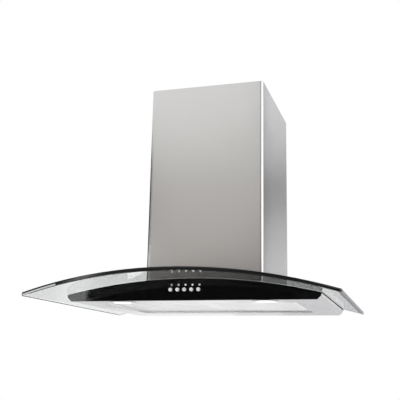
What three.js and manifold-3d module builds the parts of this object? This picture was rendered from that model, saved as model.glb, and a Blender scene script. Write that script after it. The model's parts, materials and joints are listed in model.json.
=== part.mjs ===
// A wall-hung range hood with a bent glass canopy over a shallow steel body, a black control
// panel, a telescoping chimney, and the blower, filters, lamps and switches that it holds.
// Millimetres. X runs to the right, -Y to the front and Z up; the wall is the plane y = 0.
// The origin is on the body's back wall, on the centre line, halfway up the canopy's height.
import * as THREE from "three";
import { mergeVertices } from "three/addons/utils/BufferGeometryUtils.js";
import Module from "manifold-3d";

const wasm = await Module();
wasm.setup();

// ---------------------------------------------------------------- driving dimensions
const seat = 0.3; // gap between pieces that touch
const slide = 0.6; // gap between covers that slide in each other
const sheet = 1; // steel sheet
const thickSheet = 2; // steel of the hooks and brackets

// Glass canopy
const glassWidth = 600;
const glassDepth = 480; // wall to the front corners
const glassBow = 19; // how far the front edge stands forward on the centre line
const glassThickness = 6;
const glassRise = 41.2; // height of the arch over the full width
const glassCornerRadius = 4;
const cutoutCornerRadius = 8;
const archSteps = 30;

// Body under the glass
const frontOverhang = 100.5; // front corners of the glass to the face of the control panel
const sideOverhang = 46.5; // glass beyond the body's sides
const cornerCut = 8; // the lower corners are cut off by this much each way
const sideWall = 5; // what is left of the side between the cut corner and the arch
const washerThickness = 1.6;
const topSheetMargin = 4.5; // side wall to the edge of the top sheet

// Control panel
const panelThickness = 3;
const buttonCount = 5;
const buttonPitch = 14;
const buttonRadius = 3.4;
const buttonProud = 4.5;
const buttonTravel = 2;
const buttonStemRadius = 2;
const buttonHeight = 20.7; // above the underside
const buttonRowX = -7; // centre of the row
const indicatorHeight = 29.9;
const indicatorShift = 1.6; // indicators to the right of their buttons
const indicatorRadius = 1.7;
const indicatorProud = 0.4;
const blockDepth = 16;
const blockMargin = 9; // switch block beyond the outer buttons
const blockBelow = 8; // switch block below the buttons
const blockAbove = 5; // and above the indicators
const stemFloor = 2; // switch block left behind a pressed stem
const guideDepth = 3; // light guide behind the panel
const guideHalfHeight = 2.6;
const guideEnd = 4; // switch block beyond the light guide

// Filter recess in the underside, and the two cassettes in it
const recessSideMargin = 48.5; // edge of the underside to the recess
const recessFrontMargin = 58.5; // face of the control panel to the recess
const recessBack = 75;
const recessDepth = 5;
const curbHeight = 15; // turned-up edge round the recess
const ledgeDepth = 10;
const cassetteGap = 1;
const cassetteHeight = 9;
const cassetteRim = 13;
const cassetteFrontRim = 30;
const cassetteLip = 7; // how far the lip reaches over the ledge
const lipThickness = 1.4;
const lipInset = 5; // cassette's side to the end of the lip
const waveCount = 15; // folds in each filter pad
const padSheet = 1.2;
const latchWidth = 30;
const latchLength = 13;
const latchThickness = 2.5;
const latchTravel = 5;
const tongueWidth = 14;
const tongueReach = 2; // into the recess's front edge
const gripDrop = 2; // finger grip below the cassette

// Lamps in the front strip of the underside
const lampInset = 52; // side of the recess to the centre of a lamp
const lampSetback = 28.5; // face of the control panel to the centre of a lamp
const lampBezelRadius = 26;
const lampBarrelRadius = 22.5;
const lampWindowRadius = 17;
const lampBezelProud = 1.4;
const lampBarrelHeight = 8;
const lampCanHeight = 15;
const lampCanBevel = 4;
const lampLip = 2; // barrel's wall, which holds the lens
const lensThickness = 2.5;

// Chimney covers
const chimneyWidth = 250.6;
const chimneyDepth = 280;
const chimneyTop = 475.7; // above the underside
const foldRadius = 3.5; // outside of the outer cover's folds
const lowerFlange = 13;
const upperFlange = 12;
const upperLength = 400;
const upperInset = 1.5; // top of the inner cover below the top of the outer one
const ventCount = 6;
const ventLength = 120;
const ventHeight = 5;
const ventPitch = 12;
const ventTop = 30; // top of the inner cover to the first slot
const bracketHeight = 25;
const bracketEar = 18;
const bracketDrop = 12; // top of the covers to the top of the bracket
const clipLength = 40;
const clipHeight = 14;
const clipClearance = 4; // glass to the clip

// Blower
const boxClearance = 13.3; // blower box to the outer cover's sides
const boxBack = 22; // wall to the blower box, and its front to the cover's front
const boxTop = 300; // above the underside
const boxFloorMargin = 8; // top sheet's edge left under the blower box
const cutoutGap = 3.5; // glass to the blower box
const scrollWidth = 116;
const scrollWall = 2;
const scrollStartRadius = 82;
const scrollEndRadius = 114;
const scrollStartAngle = 60; // degrees from the outlet side, where the cut-off is
const scrollFloorGap = 13; // above the top sheet
const mouthLean = 10; // how far the mouth's front wall leans past the axis
const inletRadius = 56;
const wheelRadius = 76;
const wheelInnerRadius = 63;
const wheelWidth = 98;
const bladeCount = 26;
const bladeThickness = 1.2;
const bladeSweep = 0.16; // turn from a blade's inner edge to its outer edge, in radians
const ringThickness = 3;
const hubRadius = 12;
const shaftRadius = 4;
const motorRadius = 38;
const motorLength = 68;
const motorRight = -10; // motor's right face, from the middle of the wheel
const motorStep = 8; // rim of the motor's left end
const shaftSocket = 20; // shaft's length inside the motor
const shaftRight = 12;
const armCount = 3; // arms of the motor's bracket
const armWidth = 14;
const hoopWall = 4; // ring of the motor's bracket
const hoopLength = 12;
const bellReach = 4; // inlet ring beyond the scroll's side
const armReach = 14; // bracket arm beyond the inlet

// Outlet collar with the two non-return flaps
const collarRadius = 60;
const collarWall = 1.5;
const collarHeight = 64;
const collarThroat = 54;
const collarFlange = 66;
const flapThickness = 1.5;
const pinRadius = 2;
const pinHeight = 6.5; // above the collar's base
const pinOffset = 4.6; // each flap has its own pin, this far from the collar's centre line
const knuckleRadius = 4;
const knuckleLength = 80;

// Terminal box on the blower box
const terminalWidth = 60;
const terminalDepth = 50;
const terminalHeight = 24;
const terminalGap = 4; // terminal box to the collar's flange
const glandRadius = 7;
const glandLength = 14;

// Fixings
const boltSetback = 49.5; // face of the control panel to the front bolts
const boltBack = 60; // wall to the rear bolts
const boltRadius = 2.5;
const boltHeadRadius = 8;
const boltHeadHeight = 3;
const boltBeyondNut = 2;
const washerRadius = 9;
const nutRadius = 5;
const nutHeight = 4;
const hookX = 150;
const hookWidth = 30;
const hookPlate = 14;
const hookLip = 7;
const screwRadius = 2.5;

// ---------------------------------------------------------------- derived places
const bodyDepth = glassDepth - frontOverhang;
const shoulderWidth = glassWidth - 2 * sideOverhang;
const bottomWidth = shoulderWidth - 2 * cornerCut;
const recessWidth = bottomWidth - 2 * recessSideMargin;
const recessFront = bodyDepth - recessFrontMargin;
const lampX = recessWidth / 2 - lampInset;
const lampY = bodyDepth - lampSetback;
const boxWidth = chimneyWidth - 2 * boxClearance;
const boxFront = chimneyDepth - boxBack;
const boltX = recessWidth / 2;

// The arch is part of a circle; a depth below the top of the glass is measured square to it.
const archRadius = (glassWidth / 2) ** 2 / (2 * glassRise) + glassRise / 2;
const archDrop = (depth, x) => archRadius - Math.sqrt((archRadius - depth) ** 2 - x * x);
const panelTopDepth = glassThickness + seat;
const panelDrop = archDrop(panelTopDepth, shoulderWidth / 2) - panelTopDepth;

// Heights: the panel is as high as the arch's drop over its width and what shows of its side.
const bodyHeight = panelDrop + sideWall + cornerCut;
const underside = -(bodyHeight - seat) / 2;
const above = (height) => underside + height;
const glassTop = above(bodyHeight + panelTopDepth);
const archZ = (depth, x) => glassTop - archDrop(depth, x);
const topSheetDepth = glassThickness + 2 * seat + washerThickness;
const panTopDepth = topSheetDepth + sheet + seat;

const panelBack = panelThickness - bodyDepth;
const panFront = panelBack + seat;
const hookSeat = archZ(topSheetDepth + sheet, hookX + hookWidth / 2) - seat - hookLip;
const cassetteFloor = above(recessDepth + seat);
const cassetteWidth = (recessWidth - 3 * cassetteGap) / 2;
const cassetteX = (cassetteWidth + cassetteGap) / 2;
const ledgeFront = -(recessBack + ledgeDepth);
const cassetteBack = ledgeFront - seat;
const cassetteFront = -(recessFront - cassetteGap);
const outerHalf = chimneyWidth / 2;
const upperHalf = outerHalf - sheet - slide;
const upperTop = above(chimneyTop) - upperInset;
const upperBottom = upperTop - upperLength;
const boxHalf = boxWidth / 2;
const lidTop = above(boxTop);
const collarY = -(boxBack + collarFlange + 1);
const scrollY = -(boxBack + sheet + slide + scrollEndRadius);
const scrollZ = archZ(topSheetDepth, 0) + scrollFloorGap + scrollEndRadius;

// ---------------------------------------------------------------- materials
function metal(color, roughness, metalness = 1) {
  return new THREE.MeshStandardMaterial({ color, roughness, metalness });
}
const steel = metal(0xb9b5b1, 0.32);
const galvanised = metal(0xa7a9ab, 0.45);
const aluminium = metal(0xc9cacb, 0.4);
const chrome = metal(0xd8d8d8, 0.12);
const clearGlass = new THREE.MeshStandardMaterial({
  color: 0xe6ece9,
  roughness: 0.05,
  metalness: 0,
  transparent: true,
  opacity: 0.35,
});
const frosted = metal(0xfff6e2, 0.5, 0);
const blackGloss = metal(0x0b0b0c, 0.08, 0);
const rubber = metal(0x222222, 0.9, 0);
const greyPlastic = metal(0x8d9093, 0.55, 0);
const whitePlastic = metal(0xe8e8e4, 0.5, 0);
const darkPlastic = metal(0x2b2c2e, 0.5, 0);

// ---------------------------------------------------------------- solids
function solidOf(geometry) {
  const bare = geometry.index ? geometry.toNonIndexed() : geometry.clone();
  bare.deleteAttribute("normal");
  bare.deleteAttribute("uv");
  const merged = mergeVertices(bare, 1e-4);
  const corners = merged.index.array;
  const triVerts = [];
  for (let i = 0; i < corners.length; i += 3) {
    const [a, b, c] = corners.slice(i, i + 3);
    if (a !== b && b !== c && c !== a) triVerts.push(a, b, c);
  }
  return new wasm.Manifold(
    new wasm.Mesh({
      numProp: 3,
      vertProperties: merged.attributes.position.array,
      triVerts: new Uint32Array(triVerts),
    }),
  );
}

function geometryOf(solid) {
  const { vertProperties, triVerts } = solid.getMesh();
  const geometry = new THREE.BufferGeometry();
  geometry.setAttribute("position", new THREE.BufferAttribute(vertProperties, 3));
  geometry.setIndex(new THREE.BufferAttribute(triVerts, 1));
  const flat = geometry.toNonIndexed();
  flat.computeVertexNormals();
  return flat;
}

const join = (solids) => solids.reduce((whole, next) => whole.add(next));
const cut = (solid, tools) => tools.reduce((rest, tool) => rest.subtract(tool), solid);

// A box between two corners.
function block([x0, y0, z0], [x1, y1, z1]) {
  const box = new THREE.BoxGeometry(x1 - x0, y1 - y0, z1 - z0);
  return solidOf(box.translate((x0 + x1) / 2, (y0 + y1) / 2, (z0 + z1) / 2));
}

function shapeOf(points) {
  return new THREE.Shape(points.map(([u, v]) => new THREE.Vector2(u, v)));
}

function extrude(shape, depth, curveSegments = 6) {
  return new THREE.ExtrudeGeometry(shape, { depth, bevelEnabled: false, curveSegments });
}

// An outline in X and Y, raised from one height to another.
function raise(shape, bottom, top, curveSegments) {
  return solidOf(extrude(shape, top - bottom, curveSegments).translate(0, 0, bottom));
}

// An outline in X and Z, carried from the front to the back.
function carryBack(shape, front, back, curveSegments) {
  const bar = extrude(shape, back - front, curveSegments).rotateX(Math.PI / 2);
  return solidOf(bar.translate(0, back, 0));
}

// An outline in Y and Z, carried from left to right.
function carryRight(shape, left, right, curveSegments) {
  const turn = new THREE.Matrix4().makeBasis(
    new THREE.Vector3(0, 1, 0),
    new THREE.Vector3(0, 0, 1),
    new THREE.Vector3(1, 0, 0),
  );
  const bar = extrude(shape, right - left, curveSegments).applyMatrix4(turn);
  return solidOf(bar.translate(left, 0, 0));
}

// A profile of [radius, height] points, listed anticlockwise and turned round the Y axis.
function latheY(profile, segments = 24) {
  const closed = profile[0][0] === 0 ? profile : [...profile, profile[0]];
  return new THREE.LatheGeometry(
    closed.map(([r, h]) => new THREE.Vector2(r, h)),
    segments,
  );
}
const turnedY = (profile, segments) => solidOf(latheY(profile, segments));
const turnedZ = (profile, segments) => solidOf(latheY(profile, segments).rotateX(Math.PI / 2));
const turnedX = (profile, segments) => solidOf(latheY(profile, segments).rotateZ(-Math.PI / 2));

function disc(radius, low, high) {
  return [
    [0, low],
    [radius, low],
    [radius, high],
    [0, high],
  ];
}

function ring(inner, outer, low, high) {
  return [
    [inner, low],
    [outer, low],
    [outer, high],
    [inner, high],
  ];
}

// A rectangle with round corners, centred on (x, y).
function roundedRectangle(x, y, width, height, radius) {
  const w = width / 2 - radius;
  const h = height / 2 - radius;
  const shape = new THREE.Shape();
  shape.absarc(x + w, y - h, radius, -Math.PI / 2, 0);
  shape.absarc(x + w, y + h, radius, 0, Math.PI / 2);
  shape.absarc(x - w, y + h, radius, Math.PI / 2, Math.PI);
  shape.absarc(x - w, y - h, radius, Math.PI, Math.PI * 1.5);
  return shape;
}

// Points along the arch from one x to another, at a depth below the top of the glass.
function archPoints(depth, fromX, toX) {
  return Array.from({ length: archSteps + 1 }, (_, i) => {
    const x = fromX + ((toX - fromX) * i) / archSteps;
    return [x, archZ(depth, x)];
  });
}

// The band of the arch between two depths.
function archBand(upper, lower, half, front, back) {
  const outline = [...archPoints(lower, -half, half), ...archPoints(upper, half, -half)];
  return carryBack(shapeOf(outline), front, back);
}

// Everything below the arch at a depth, down to a floor under the part.
function underArch(depth, front, back) {
  const half = glassWidth / 2;
  const floor = underside - glassWidth;
  const outline = [[-half, floor], [half, floor], ...archPoints(depth, half, -half)];
  return carryBack(shapeOf(outline), front, back);
}

const parts = new THREE.Group();
function add(name, solid, material, parent = parts) {
  const mesh = new THREE.Mesh(geometryOf(solid), material);
  mesh.name = name;
  parent.add(mesh);
  return mesh;
}

// The fixing places on the glass: a group at each, with its Z axis square to the arch and its
// origin on the top of the glass.
function fixingGroups() {
  const places = [
    [-boltX, boltSetback - bodyDepth],
    [boltX, boltSetback - bodyDepth],
    [-boltX, -boltBack],
    [boltX, -boltBack],
  ];
  return places.map(([x, y]) => {
    const group = new THREE.Group();
    group.position.set(x, y, archZ(0, x));
    group.rotation.y = Math.asin(x / archRadius);
    group.updateMatrix();
    return group;
  });
}
const fixings = fixingGroups();

// The bolts' clearance holes through the glass and the top sheet.
function boltHoles() {
  const depth = 2 * topSheetDepth;
  return fixings.map((group) => {
    const hole = latheY(disc(boltRadius + slide, -depth, depth), 10).rotateX(Math.PI / 2);
    return solidOf(hole.applyMatrix4(group.matrix));
  });
}

// ---------------------------------------------------------------- glass canopy
// The plan outline, with a bowed front edge and round front corners.
function glassPlan() {
  const half = glassWidth / 2;
  const bow = (x) => -glassDepth - glassBow * (1 - (x / half) ** 2);
  const start = half - glassCornerRadius;
  const shape = new THREE.Shape();
  shape.moveTo(half, 0);
  shape.lineTo(-half, 0);
  shape.lineTo(-half, -glassDepth + glassCornerRadius);
  shape.quadraticCurveTo(-half, bow(half), -start, bow(start));
  for (let i = 1; i <= archSteps; i += 1) {
    const x = -start + (2 * start * i) / archSteps;
    shape.lineTo(x, bow(x));
  }
  shape.quadraticCurveTo(half, bow(half), half, -glassDepth + glassCornerRadius);
  return shape;
}

function glassCanopy() {
  const deepest = -glassDepth - 2 * glassBow;
  const band = archBand(0, glassThickness, glassWidth / 2, deepest, 0);
  const low = above(0) - glassWidth;
  const high = glassTop + glassWidth;
  const cutout = roundedRectangle(
    0,
    -(boxFront + boxBack) / 2,
    boxWidth + 2 * cutoutGap,
    boxFront - boxBack + 2 * cutoutGap,
    cutoutCornerRadius,
  );
  const sheetOfGlass = band.intersect(raise(glassPlan(), low, high));
  return cut(sheetOfGlass, [raise(cutout, low, high), ...boltHoles()]);
}
add("glass_canopy", glassCanopy(), clearGlass);

// ---------------------------------------------------------------- body
// The body's section: level bottom, cut-off lower corners and an arched top.
function bodySection(inset, topDepth) {
  const slant = inset * Math.tan(Math.PI / 8);
  const bottomHalf = bottomWidth / 2 - slant;
  const shoulderHalf = shoulderWidth / 2 - inset;
  const shoulder = above(cornerCut) + slant;
  return shapeOf([
    [-bottomHalf, above(inset)],
    [bottomHalf, above(inset)],
    [shoulderHalf, shoulder],
    ...archPoints(topDepth, shoulderHalf, -shoulderHalf),
    [-shoulderHalf, shoulder],
  ]);
}

const lampPlaces = [
  ["left", -lampX],
  ["right", lampX],
];

const buttonPlaces = Array.from(
  { length: buttonCount },
  (_, i) => buttonRowX + (i - (buttonCount - 1) / 2) * buttonPitch,
);
const blockHalf = ((buttonCount - 1) * buttonPitch) / 2 + blockMargin;
const blockBottom = above(buttonHeight - blockBelow);
const blockTop = above(indicatorHeight + blockAbove);
const guideHalf = blockHalf - guideEnd;

const cassettePlaces = [
  ["left", -cassetteX],
  ["right", cassetteX],
];
const tongueZ = cassetteFloor + sheet + seat;

function wallHookSlot(x) {
  const half = hookWidth / 2 + seat;
  return block(
    [x - half, -2 * sheet, hookSeat - hookPlate - seat],
    [x + half, sheet, hookSeat + seat],
  );
}

function bodyShell() {
  const outer = carryBack(bodySection(0, panelTopDepth + seat), panFront, 0);
  const inner = carryBack(bodySection(sheet, 0), panFront + sheet, -sheet);
  const topHalf = shoulderWidth / 2 - topSheetMargin + seat;
  const topRoom = archBand(0, panTopDepth, topHalf, panFront - sheet, sheet);
  const half = recessWidth / 2;
  const curb = block(
    [-half - sheet, -recessFront - sheet, above(0)],
    [half + sheet, -recessBack + sheet, above(curbHeight)],
  );
  const opening = block(
    [-half, -recessFront, above(-sheet)],
    [half, -recessBack, above(curbHeight + sheet)],
  );
  const ledge = block(
    [-half - sheet / 2, ledgeFront, above(recessDepth - sheet)],
    [half + sheet / 2, -recessBack + sheet / 2, above(recessDepth)],
  );
  const window = block(
    [buttonRowX - blockHalf - seat, panFront - sheet, blockBottom - seat],
    [buttonRowX + blockHalf + seat, panFront + 2 * sheet, blockTop + seat],
  );
  const lampHoles = lampPlaces.map(([, x]) =>
    turnedZ(disc(lampBarrelRadius + seat, above(-sheet), above(2 * sheet))).translate(
      [x, -lampY, 0],
    ),
  );
  const latchSlots = cassettePlaces.map(([, x]) =>
    block(
      [x - tongueWidth / 2 - seat, -recessFront - 2 * sheet, tongueZ - seat],
      [x + tongueWidth / 2 + seat, -recessFront + sheet, tongueZ + latchThickness + seat],
    ),
  );
  const pan = outer.subtract(inner).subtract(topRoom).add(curb);
  const open = cut(pan, [opening, window, ...lampHoles, ...latchSlots]);
  return cut(open.add(ledge), [wallHookSlot(-hookX), wallHookSlot(hookX)]);
}
add("body_shell", bodyShell(), steel);

// The arched sheet that closes the body under the glass.
function bodyTop() {
  const half = shoulderWidth / 2 - topSheetMargin;
  const band = archBand(topSheetDepth, topSheetDepth + sheet, half, panFront, 0);
  const intake = roundedRectangle(
    0,
    -(boxFront + boxBack) / 2,
    boxWidth - 2 * boxFloorMargin,
    boxFront - boxBack - 2 * boxFloorMargin,
    cutoutCornerRadius,
  );
  return cut(band, [raise(intake, above(0), glassTop), ...boltHoles()]);
}
add("body_top", bodyTop(), galvanised);

// ---------------------------------------------------------------- control panel
function controlPanel() {
  const plate = carryBack(bodySection(0, panelTopDepth), -bodyDepth, panelBack);
  const reach = disc(buttonRadius + seat, -bodyDepth - sheet, panelBack + sheet);
  const small = disc(indicatorRadius + seat, -bodyDepth - sheet, panelBack + sheet);
  const holes = buttonPlaces.flatMap((x) => [
    turnedY(reach, 16).translate([x, 0, above(buttonHeight)]),
    turnedY(small, 12).translate([x + indicatorShift, 0, above(indicatorHeight)]),
  ]);
  return cut(plate, holes);
}
add("control_panel", controlPanel(), blackGloss);

// A push button: a domed cap through the panel, and a stem into the switch block.
const stemEnd = panFront + blockDepth - buttonTravel - stemFloor;
function pushButton() {
  const face = -bodyDepth - buttonProud;
  const capEnd = panelBack - seat;
  return turnedY(
    [
      [0, face],
      [buttonRadius - 0.9, face + 0.05],
      [buttonRadius - 0.3, face + 0.3],
      [buttonRadius, face + 0.9],
      [buttonRadius, capEnd],
      [buttonStemRadius, capEnd],
      [buttonStemRadius, stemEnd],
      [0, stemEnd],
    ],
    16,
  );
}
buttonPlaces.forEach((x, i) => {
  add(`button_${i + 1}`, pushButton(), chrome).position.set(x, 0, above(buttonHeight));
});

// The moulded light guide: a bar behind the panel with a round pip at each button.
function indicatorBar() {
  const z = above(indicatorHeight);
  const bar = block(
    [buttonRowX - guideHalf, panFront, z - guideHalfHeight],
    [buttonRowX + guideHalf, panFront + guideDepth, z + guideHalfHeight],
  );
  const pip = disc(indicatorRadius, -bodyDepth - indicatorProud, panFront + guideDepth / 2);
  const pips = buttonPlaces.map((x) => turnedY(pip, 12).translate([x + indicatorShift, 0, z]));
  return join([bar, ...pips]);
}
add("indicator_bar", indicatorBar(), frosted);

// The switch block, bored for the stems and pocketed for the light guide.
function switchBlock() {
  const body = block(
    [buttonRowX - blockHalf, panFront, blockBottom],
    [buttonRowX + blockHalf, panFront + blockDepth, blockTop],
  );
  const z = above(indicatorHeight);
  const pocketHalf = guideHalf + seat;
  const pocketRise = guideHalfHeight + seat;
  const pocket = block(
    [buttonRowX - pocketHalf, panFront - sheet, z - pocketRise],
    [buttonRowX + pocketHalf, panFront + guideDepth + seat, z + pocketRise],
  );
  const capRoom = disc(buttonRadius + seat, panFront - sheet, panelBack + buttonTravel + seat);
  const stemRoom = disc(buttonStemRadius + seat, panFront - sheet, stemEnd + buttonTravel + seat);
  const bores = buttonPlaces.flatMap((x) => [
    turnedY(capRoom, 12).translate([x, 0, above(buttonHeight)]),
    turnedY(stemRoom, 8).translate([x, 0, above(buttonHeight)]),
  ]);
  return cut(body, [pocket, ...bores]);
}
add("switch_block", switchBlock(), darkPlastic);

// ---------------------------------------------------------------- lamps
function lampBezel() {
  const lip = lampBarrelRadius - lampLip;
  return turnedZ(
    [
      [lampWindowRadius, above(-lampBezelProud)],
      [lampBezelRadius - 1.5, above(-lampBezelProud)],
      [lampBezelRadius, above(-seat - 0.4)],
      [lampBezelRadius, above(-seat)],
      [lampBarrelRadius, above(-seat)],
      [lampBarrelRadius, above(lampBarrelHeight)],
      [lip, above(lampBarrelHeight)],
      [lip, above(-seat)],
      [lampWindowRadius, above(-seat)],
    ],
    24,
  );
}

function lampLens() {
  const radius = lampBarrelRadius - lampLip - seat;
  return turnedZ(
    [
      [0, above(0.5)],
      [lampWindowRadius - 4, above(0.3)],
      [lampWindowRadius, above(0)],
      [radius, above(0)],
      [radius, above(lensThickness)],
      [0, above(lensThickness)],
    ],
    24,
  );
}

function lampCan() {
  const low = above(lampBarrelHeight + seat);
  const high = low + lampCanHeight;
  const radius = lampBarrelRadius;
  return turnedZ(
    [
      [0, high - sheet],
      [radius - lampCanBevel - sheet, high - sheet],
      [radius - sheet, high - lampCanBevel],
      [radius - sheet, low],
      [radius, low],
      [radius, high - lampCanBevel],
      [radius - lampCanBevel, high],
      [0, high],
    ],
    16,
  );
}

for (const [side, x] of lampPlaces) {
  const lamp = new THREE.Group();
  lamp.position.set(x, -lampY, 0);
  parts.add(lamp);
  add(`lamp_bezel_${side}`, lampBezel(), chrome, lamp);
  add(`lamp_lens_${side}`, lampLens(), frosted, lamp);
  add(`lamp_can_${side}`, lampCan(), aluminium, lamp);
}

// ---------------------------------------------------------------- grease filters
// Each cassette is drawn about its own centre line and then moved to its side.
const wellHalf = latchWidth / 2 + sheet + seat;
const wellBack = cassetteFront + sheet + latchLength + latchTravel + 2 * seat;

function cassetteFrame() {
  const half = cassetteWidth / 2;
  const floor = cassetteFloor;
  const top = floor + cassetteHeight;
  const tray = block([-half, cassetteFront, floor], [half, cassetteBack, top]);
  const pocket = block(
    [-half + sheet, cassetteFront + sheet, floor + sheet],
    [half - sheet, cassetteBack - sheet, top + sheet],
  );
  const face = block(
    [-half + cassetteRim, cassetteFront + cassetteFrontRim, floor - sheet],
    [half - cassetteRim, cassetteBack - cassetteRim, floor + 2 * sheet],
  );
  const lip = block(
    [-half + lipInset, cassetteBack - sheet / 2, floor],
    [half - lipInset, cassetteBack + cassetteLip, floor + lipThickness],
  );
  const well = block(
    [-wellHalf, cassetteFront + sheet / 2, floor + sheet / 2],
    [wellHalf, wellBack + sheet, top - seat],
  );
  const wellRoom = block(
    [-wellHalf + sheet, cassetteFront + sheet, floor + sheet],
    [wellHalf - sheet, wellBack, top + sheet],
  );
  const fingerHole = block(
    [-latchWidth / 2 + 3, cassetteFront + 4, floor - sheet],
    [latchWidth / 2 - 3, wellBack - 1, floor + 2 * sheet],
  );
  const tongueHole = block(
    [-tongueWidth / 2 - seat, cassetteFront - sheet, tongueZ - seat],
    [tongueWidth / 2 + seat, cassetteFront + 2 * sheet, tongueZ + latchThickness + seat],
  );
  const shell = join([cut(tray, [pocket]), well, lip]);
  return cut(shell, [face, wellRoom, fingerHole, tongueHole]);
}

// The folded filter sheet in the tray: a zigzag carried from the front to the back.
function filterPad() {
  const half = cassetteWidth / 2 - sheet - seat;
  const low = cassetteFloor + sheet + seat;
  const rise = cassetteHeight - sheet - seat - padSheet - 1;
  const crest = (i) => (i % 2 ? low + rise : low);
  const xs = Array.from({ length: 2 * waveCount + 1 }, (_, i) => -half + (half * i) / waveCount);
  const lower = xs.map((x, i) => [x, crest(i)]);
  const upper = xs.map((x, i) => [x, crest(i) + padSheet]).reverse();
  const wave = shapeOf([...lower, ...upper]);
  const folded = carryBack(wave, cassetteFront + sheet + seat, cassetteBack - sheet - seat);
  const wellNotch = block(
    [-wellHalf - seat, cassetteFront, cassetteFloor],
    [wellHalf + seat, wellBack + sheet + seat, cassetteFloor + 2 * cassetteHeight],
  );
  return cut(folded, [wellNotch]);
}

// The latch: a slider in its well, a tongue to the front and a finger grip below.
function filterLatch() {
  const front = cassetteFront + sheet + seat;
  const slider = block(
    [-latchWidth / 2, front, tongueZ],
    [latchWidth / 2, front + latchLength, tongueZ + latchThickness],
  );
  const tongue = block(
    [-tongueWidth / 2, -recessFront - tongueReach, tongueZ],
    [tongueWidth / 2, front + 1, tongueZ + latchThickness],
  );
  const grip = block(
    [-latchWidth / 2 + 4, front + latchLength - 5, cassetteFloor - gripDrop],
    [latchWidth / 2 - 4, front + latchLength - 2.5, tongueZ + 1],
  );
  return join([slider, tongue, grip]);
}

for (const [side, x] of cassettePlaces) {
  const cassette = new THREE.Group();
  cassette.position.x = x;
  parts.add(cassette);
  add(`filter_frame_${side}`, cassetteFrame(), aluminium, cassette);
  add(`filter_pad_${side}`, filterPad(), aluminium, cassette);
  add(`filter_latch_${side}`, filterLatch(), chrome, cassette);
}

// ---------------------------------------------------------------- chimney
// A cover folded from one sheet: front, two sides and two narrow flanges at the back.
function coverPlan(half, front, back, flange, radius) {
  const foldX = half - radius;
  const foldY = front + radius;
  const inside = radius - sheet;
  const shape = new THREE.Shape();
  shape.moveTo(-half, back);
  shape.lineTo(-half, foldY);
  shape.absarc(-foldX, foldY, radius, Math.PI, 1.5 * Math.PI);
  shape.absarc(foldX, foldY, radius, 1.5 * Math.PI, 2 * Math.PI);
  shape.lineTo(half, back);
  shape.lineTo(half - flange, back);
  shape.lineTo(half - flange, back - sheet);
  shape.lineTo(half - sheet, back - sheet);
  shape.absarc(foldX, foldY, inside, 2 * Math.PI, 1.5 * Math.PI, true);
  shape.absarc(-foldX, foldY, inside, 1.5 * Math.PI, Math.PI, true);
  shape.lineTo(-half + sheet, back - sheet);
  shape.lineTo(-half + flange, back - sheet);
  shape.lineTo(-half + flange, back);
  return shape;
}

function chimneyLower() {
  const plan = coverPlan(outerHalf, -chimneyDepth, 0, lowerFlange, foldRadius);
  const cover = raise(plan, above(0), above(chimneyTop), 4);
  return cover.subtract(underArch(-seat, -chimneyDepth - sheet, sheet));
}
add("chimney_lower", chimneyLower(), steel);

function chimneyUpper() {
  const front = -chimneyDepth + sheet + slide;
  const radius = foldRadius - sheet - slide;
  const plan = coverPlan(upperHalf, front, -sheet - slide, upperFlange, radius);
  const cover = raise(plan, upperBottom, upperTop, 4);
  const slots = Array.from({ length: ventCount }, (_, i) => {
    const z = upperTop - ventTop - i * ventPitch;
    const slot = roundedRectangle(-chimneyDepth / 2, z, ventLength, ventHeight, ventHeight / 2);
    return carryRight(slot, -chimneyWidth, chimneyWidth, 2);
  });
  return cut(cover, slots);
}
add("chimney_upper", chimneyUpper(), steel);

// The bracket on the wall that guides the covers' flanges near their top.
function chimneyBracket() {
  const half = upperHalf - upperFlange - seat;
  const top = above(chimneyTop) - bracketDrop;
  const plan = shapeOf([
    [-half, 0],
    [-half, -bracketEar],
    [-half + thickSheet, -bracketEar],
    [-half + thickSheet, -thickSheet],
    [half - thickSheet, -thickSheet],
    [half - thickSheet, -bracketEar],
    [half, -bracketEar],
    [half, 0],
  ]);
  const screws = [-half / 2, half / 2].map((x) =>
    turnedY(disc(screwRadius, -bracketEar, sheet), 16).translate([x, 0, top - bracketHeight / 2]),
  );
  return cut(raise(plan, top - bracketHeight, top), screws);
}
add("chimney_bracket", chimneyBracket(), galvanised);

// The folded clip that ties each side of the outer cover to the blower box.
function chimneyClip(side) {
  const inner = boxHalf + seat;
  const outer = outerHalf - sheet - seat;
  const low = archZ(0, boxHalf) + clipClearance;
  const section = shapeOf([
    [inner, low],
    [outer, low],
    [outer, low + clipHeight],
    [outer - sheet, low + clipHeight],
    [outer - sheet, low + sheet],
    [inner + sheet, low + sheet],
    [inner + sheet, low + clipHeight],
    [inner, low + clipHeight],
  ]);
  const middle = -chimneyDepth / 2;
  const clip = carryBack(section, middle - clipLength / 2, middle + clipLength / 2);
  return side < 0 ? clip.mirror([1, 0, 0]) : clip;
}
add("chimney_clip_left", chimneyClip(-1), galvanised);
add("chimney_clip_right", chimneyClip(1), galvanised);

// ---------------------------------------------------------------- blower
function blowerBox() {
  const bottom = above(0);
  const outer = block([-boxHalf, -boxFront, bottom], [boxHalf, -boxBack, lidTop]);
  const inner = block(
    [-boxHalf + sheet, -boxFront + sheet, bottom - sheet],
    [boxHalf - sheet, -boxBack - sheet, lidTop - sheet],
  );
  const throat = turnedZ(disc(collarThroat, lidTop - 2 * sheet, lidTop + sheet), 32);
  const belowBox = underArch(topSheetDepth - seat, -boxFront - sheet, -boxBack + sheet);
  return cut(outer, [inner, throat.translate([0, collarY, 0]), belowBox]);
}
add("blower_box", blowerBox(), galvanised);

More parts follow.
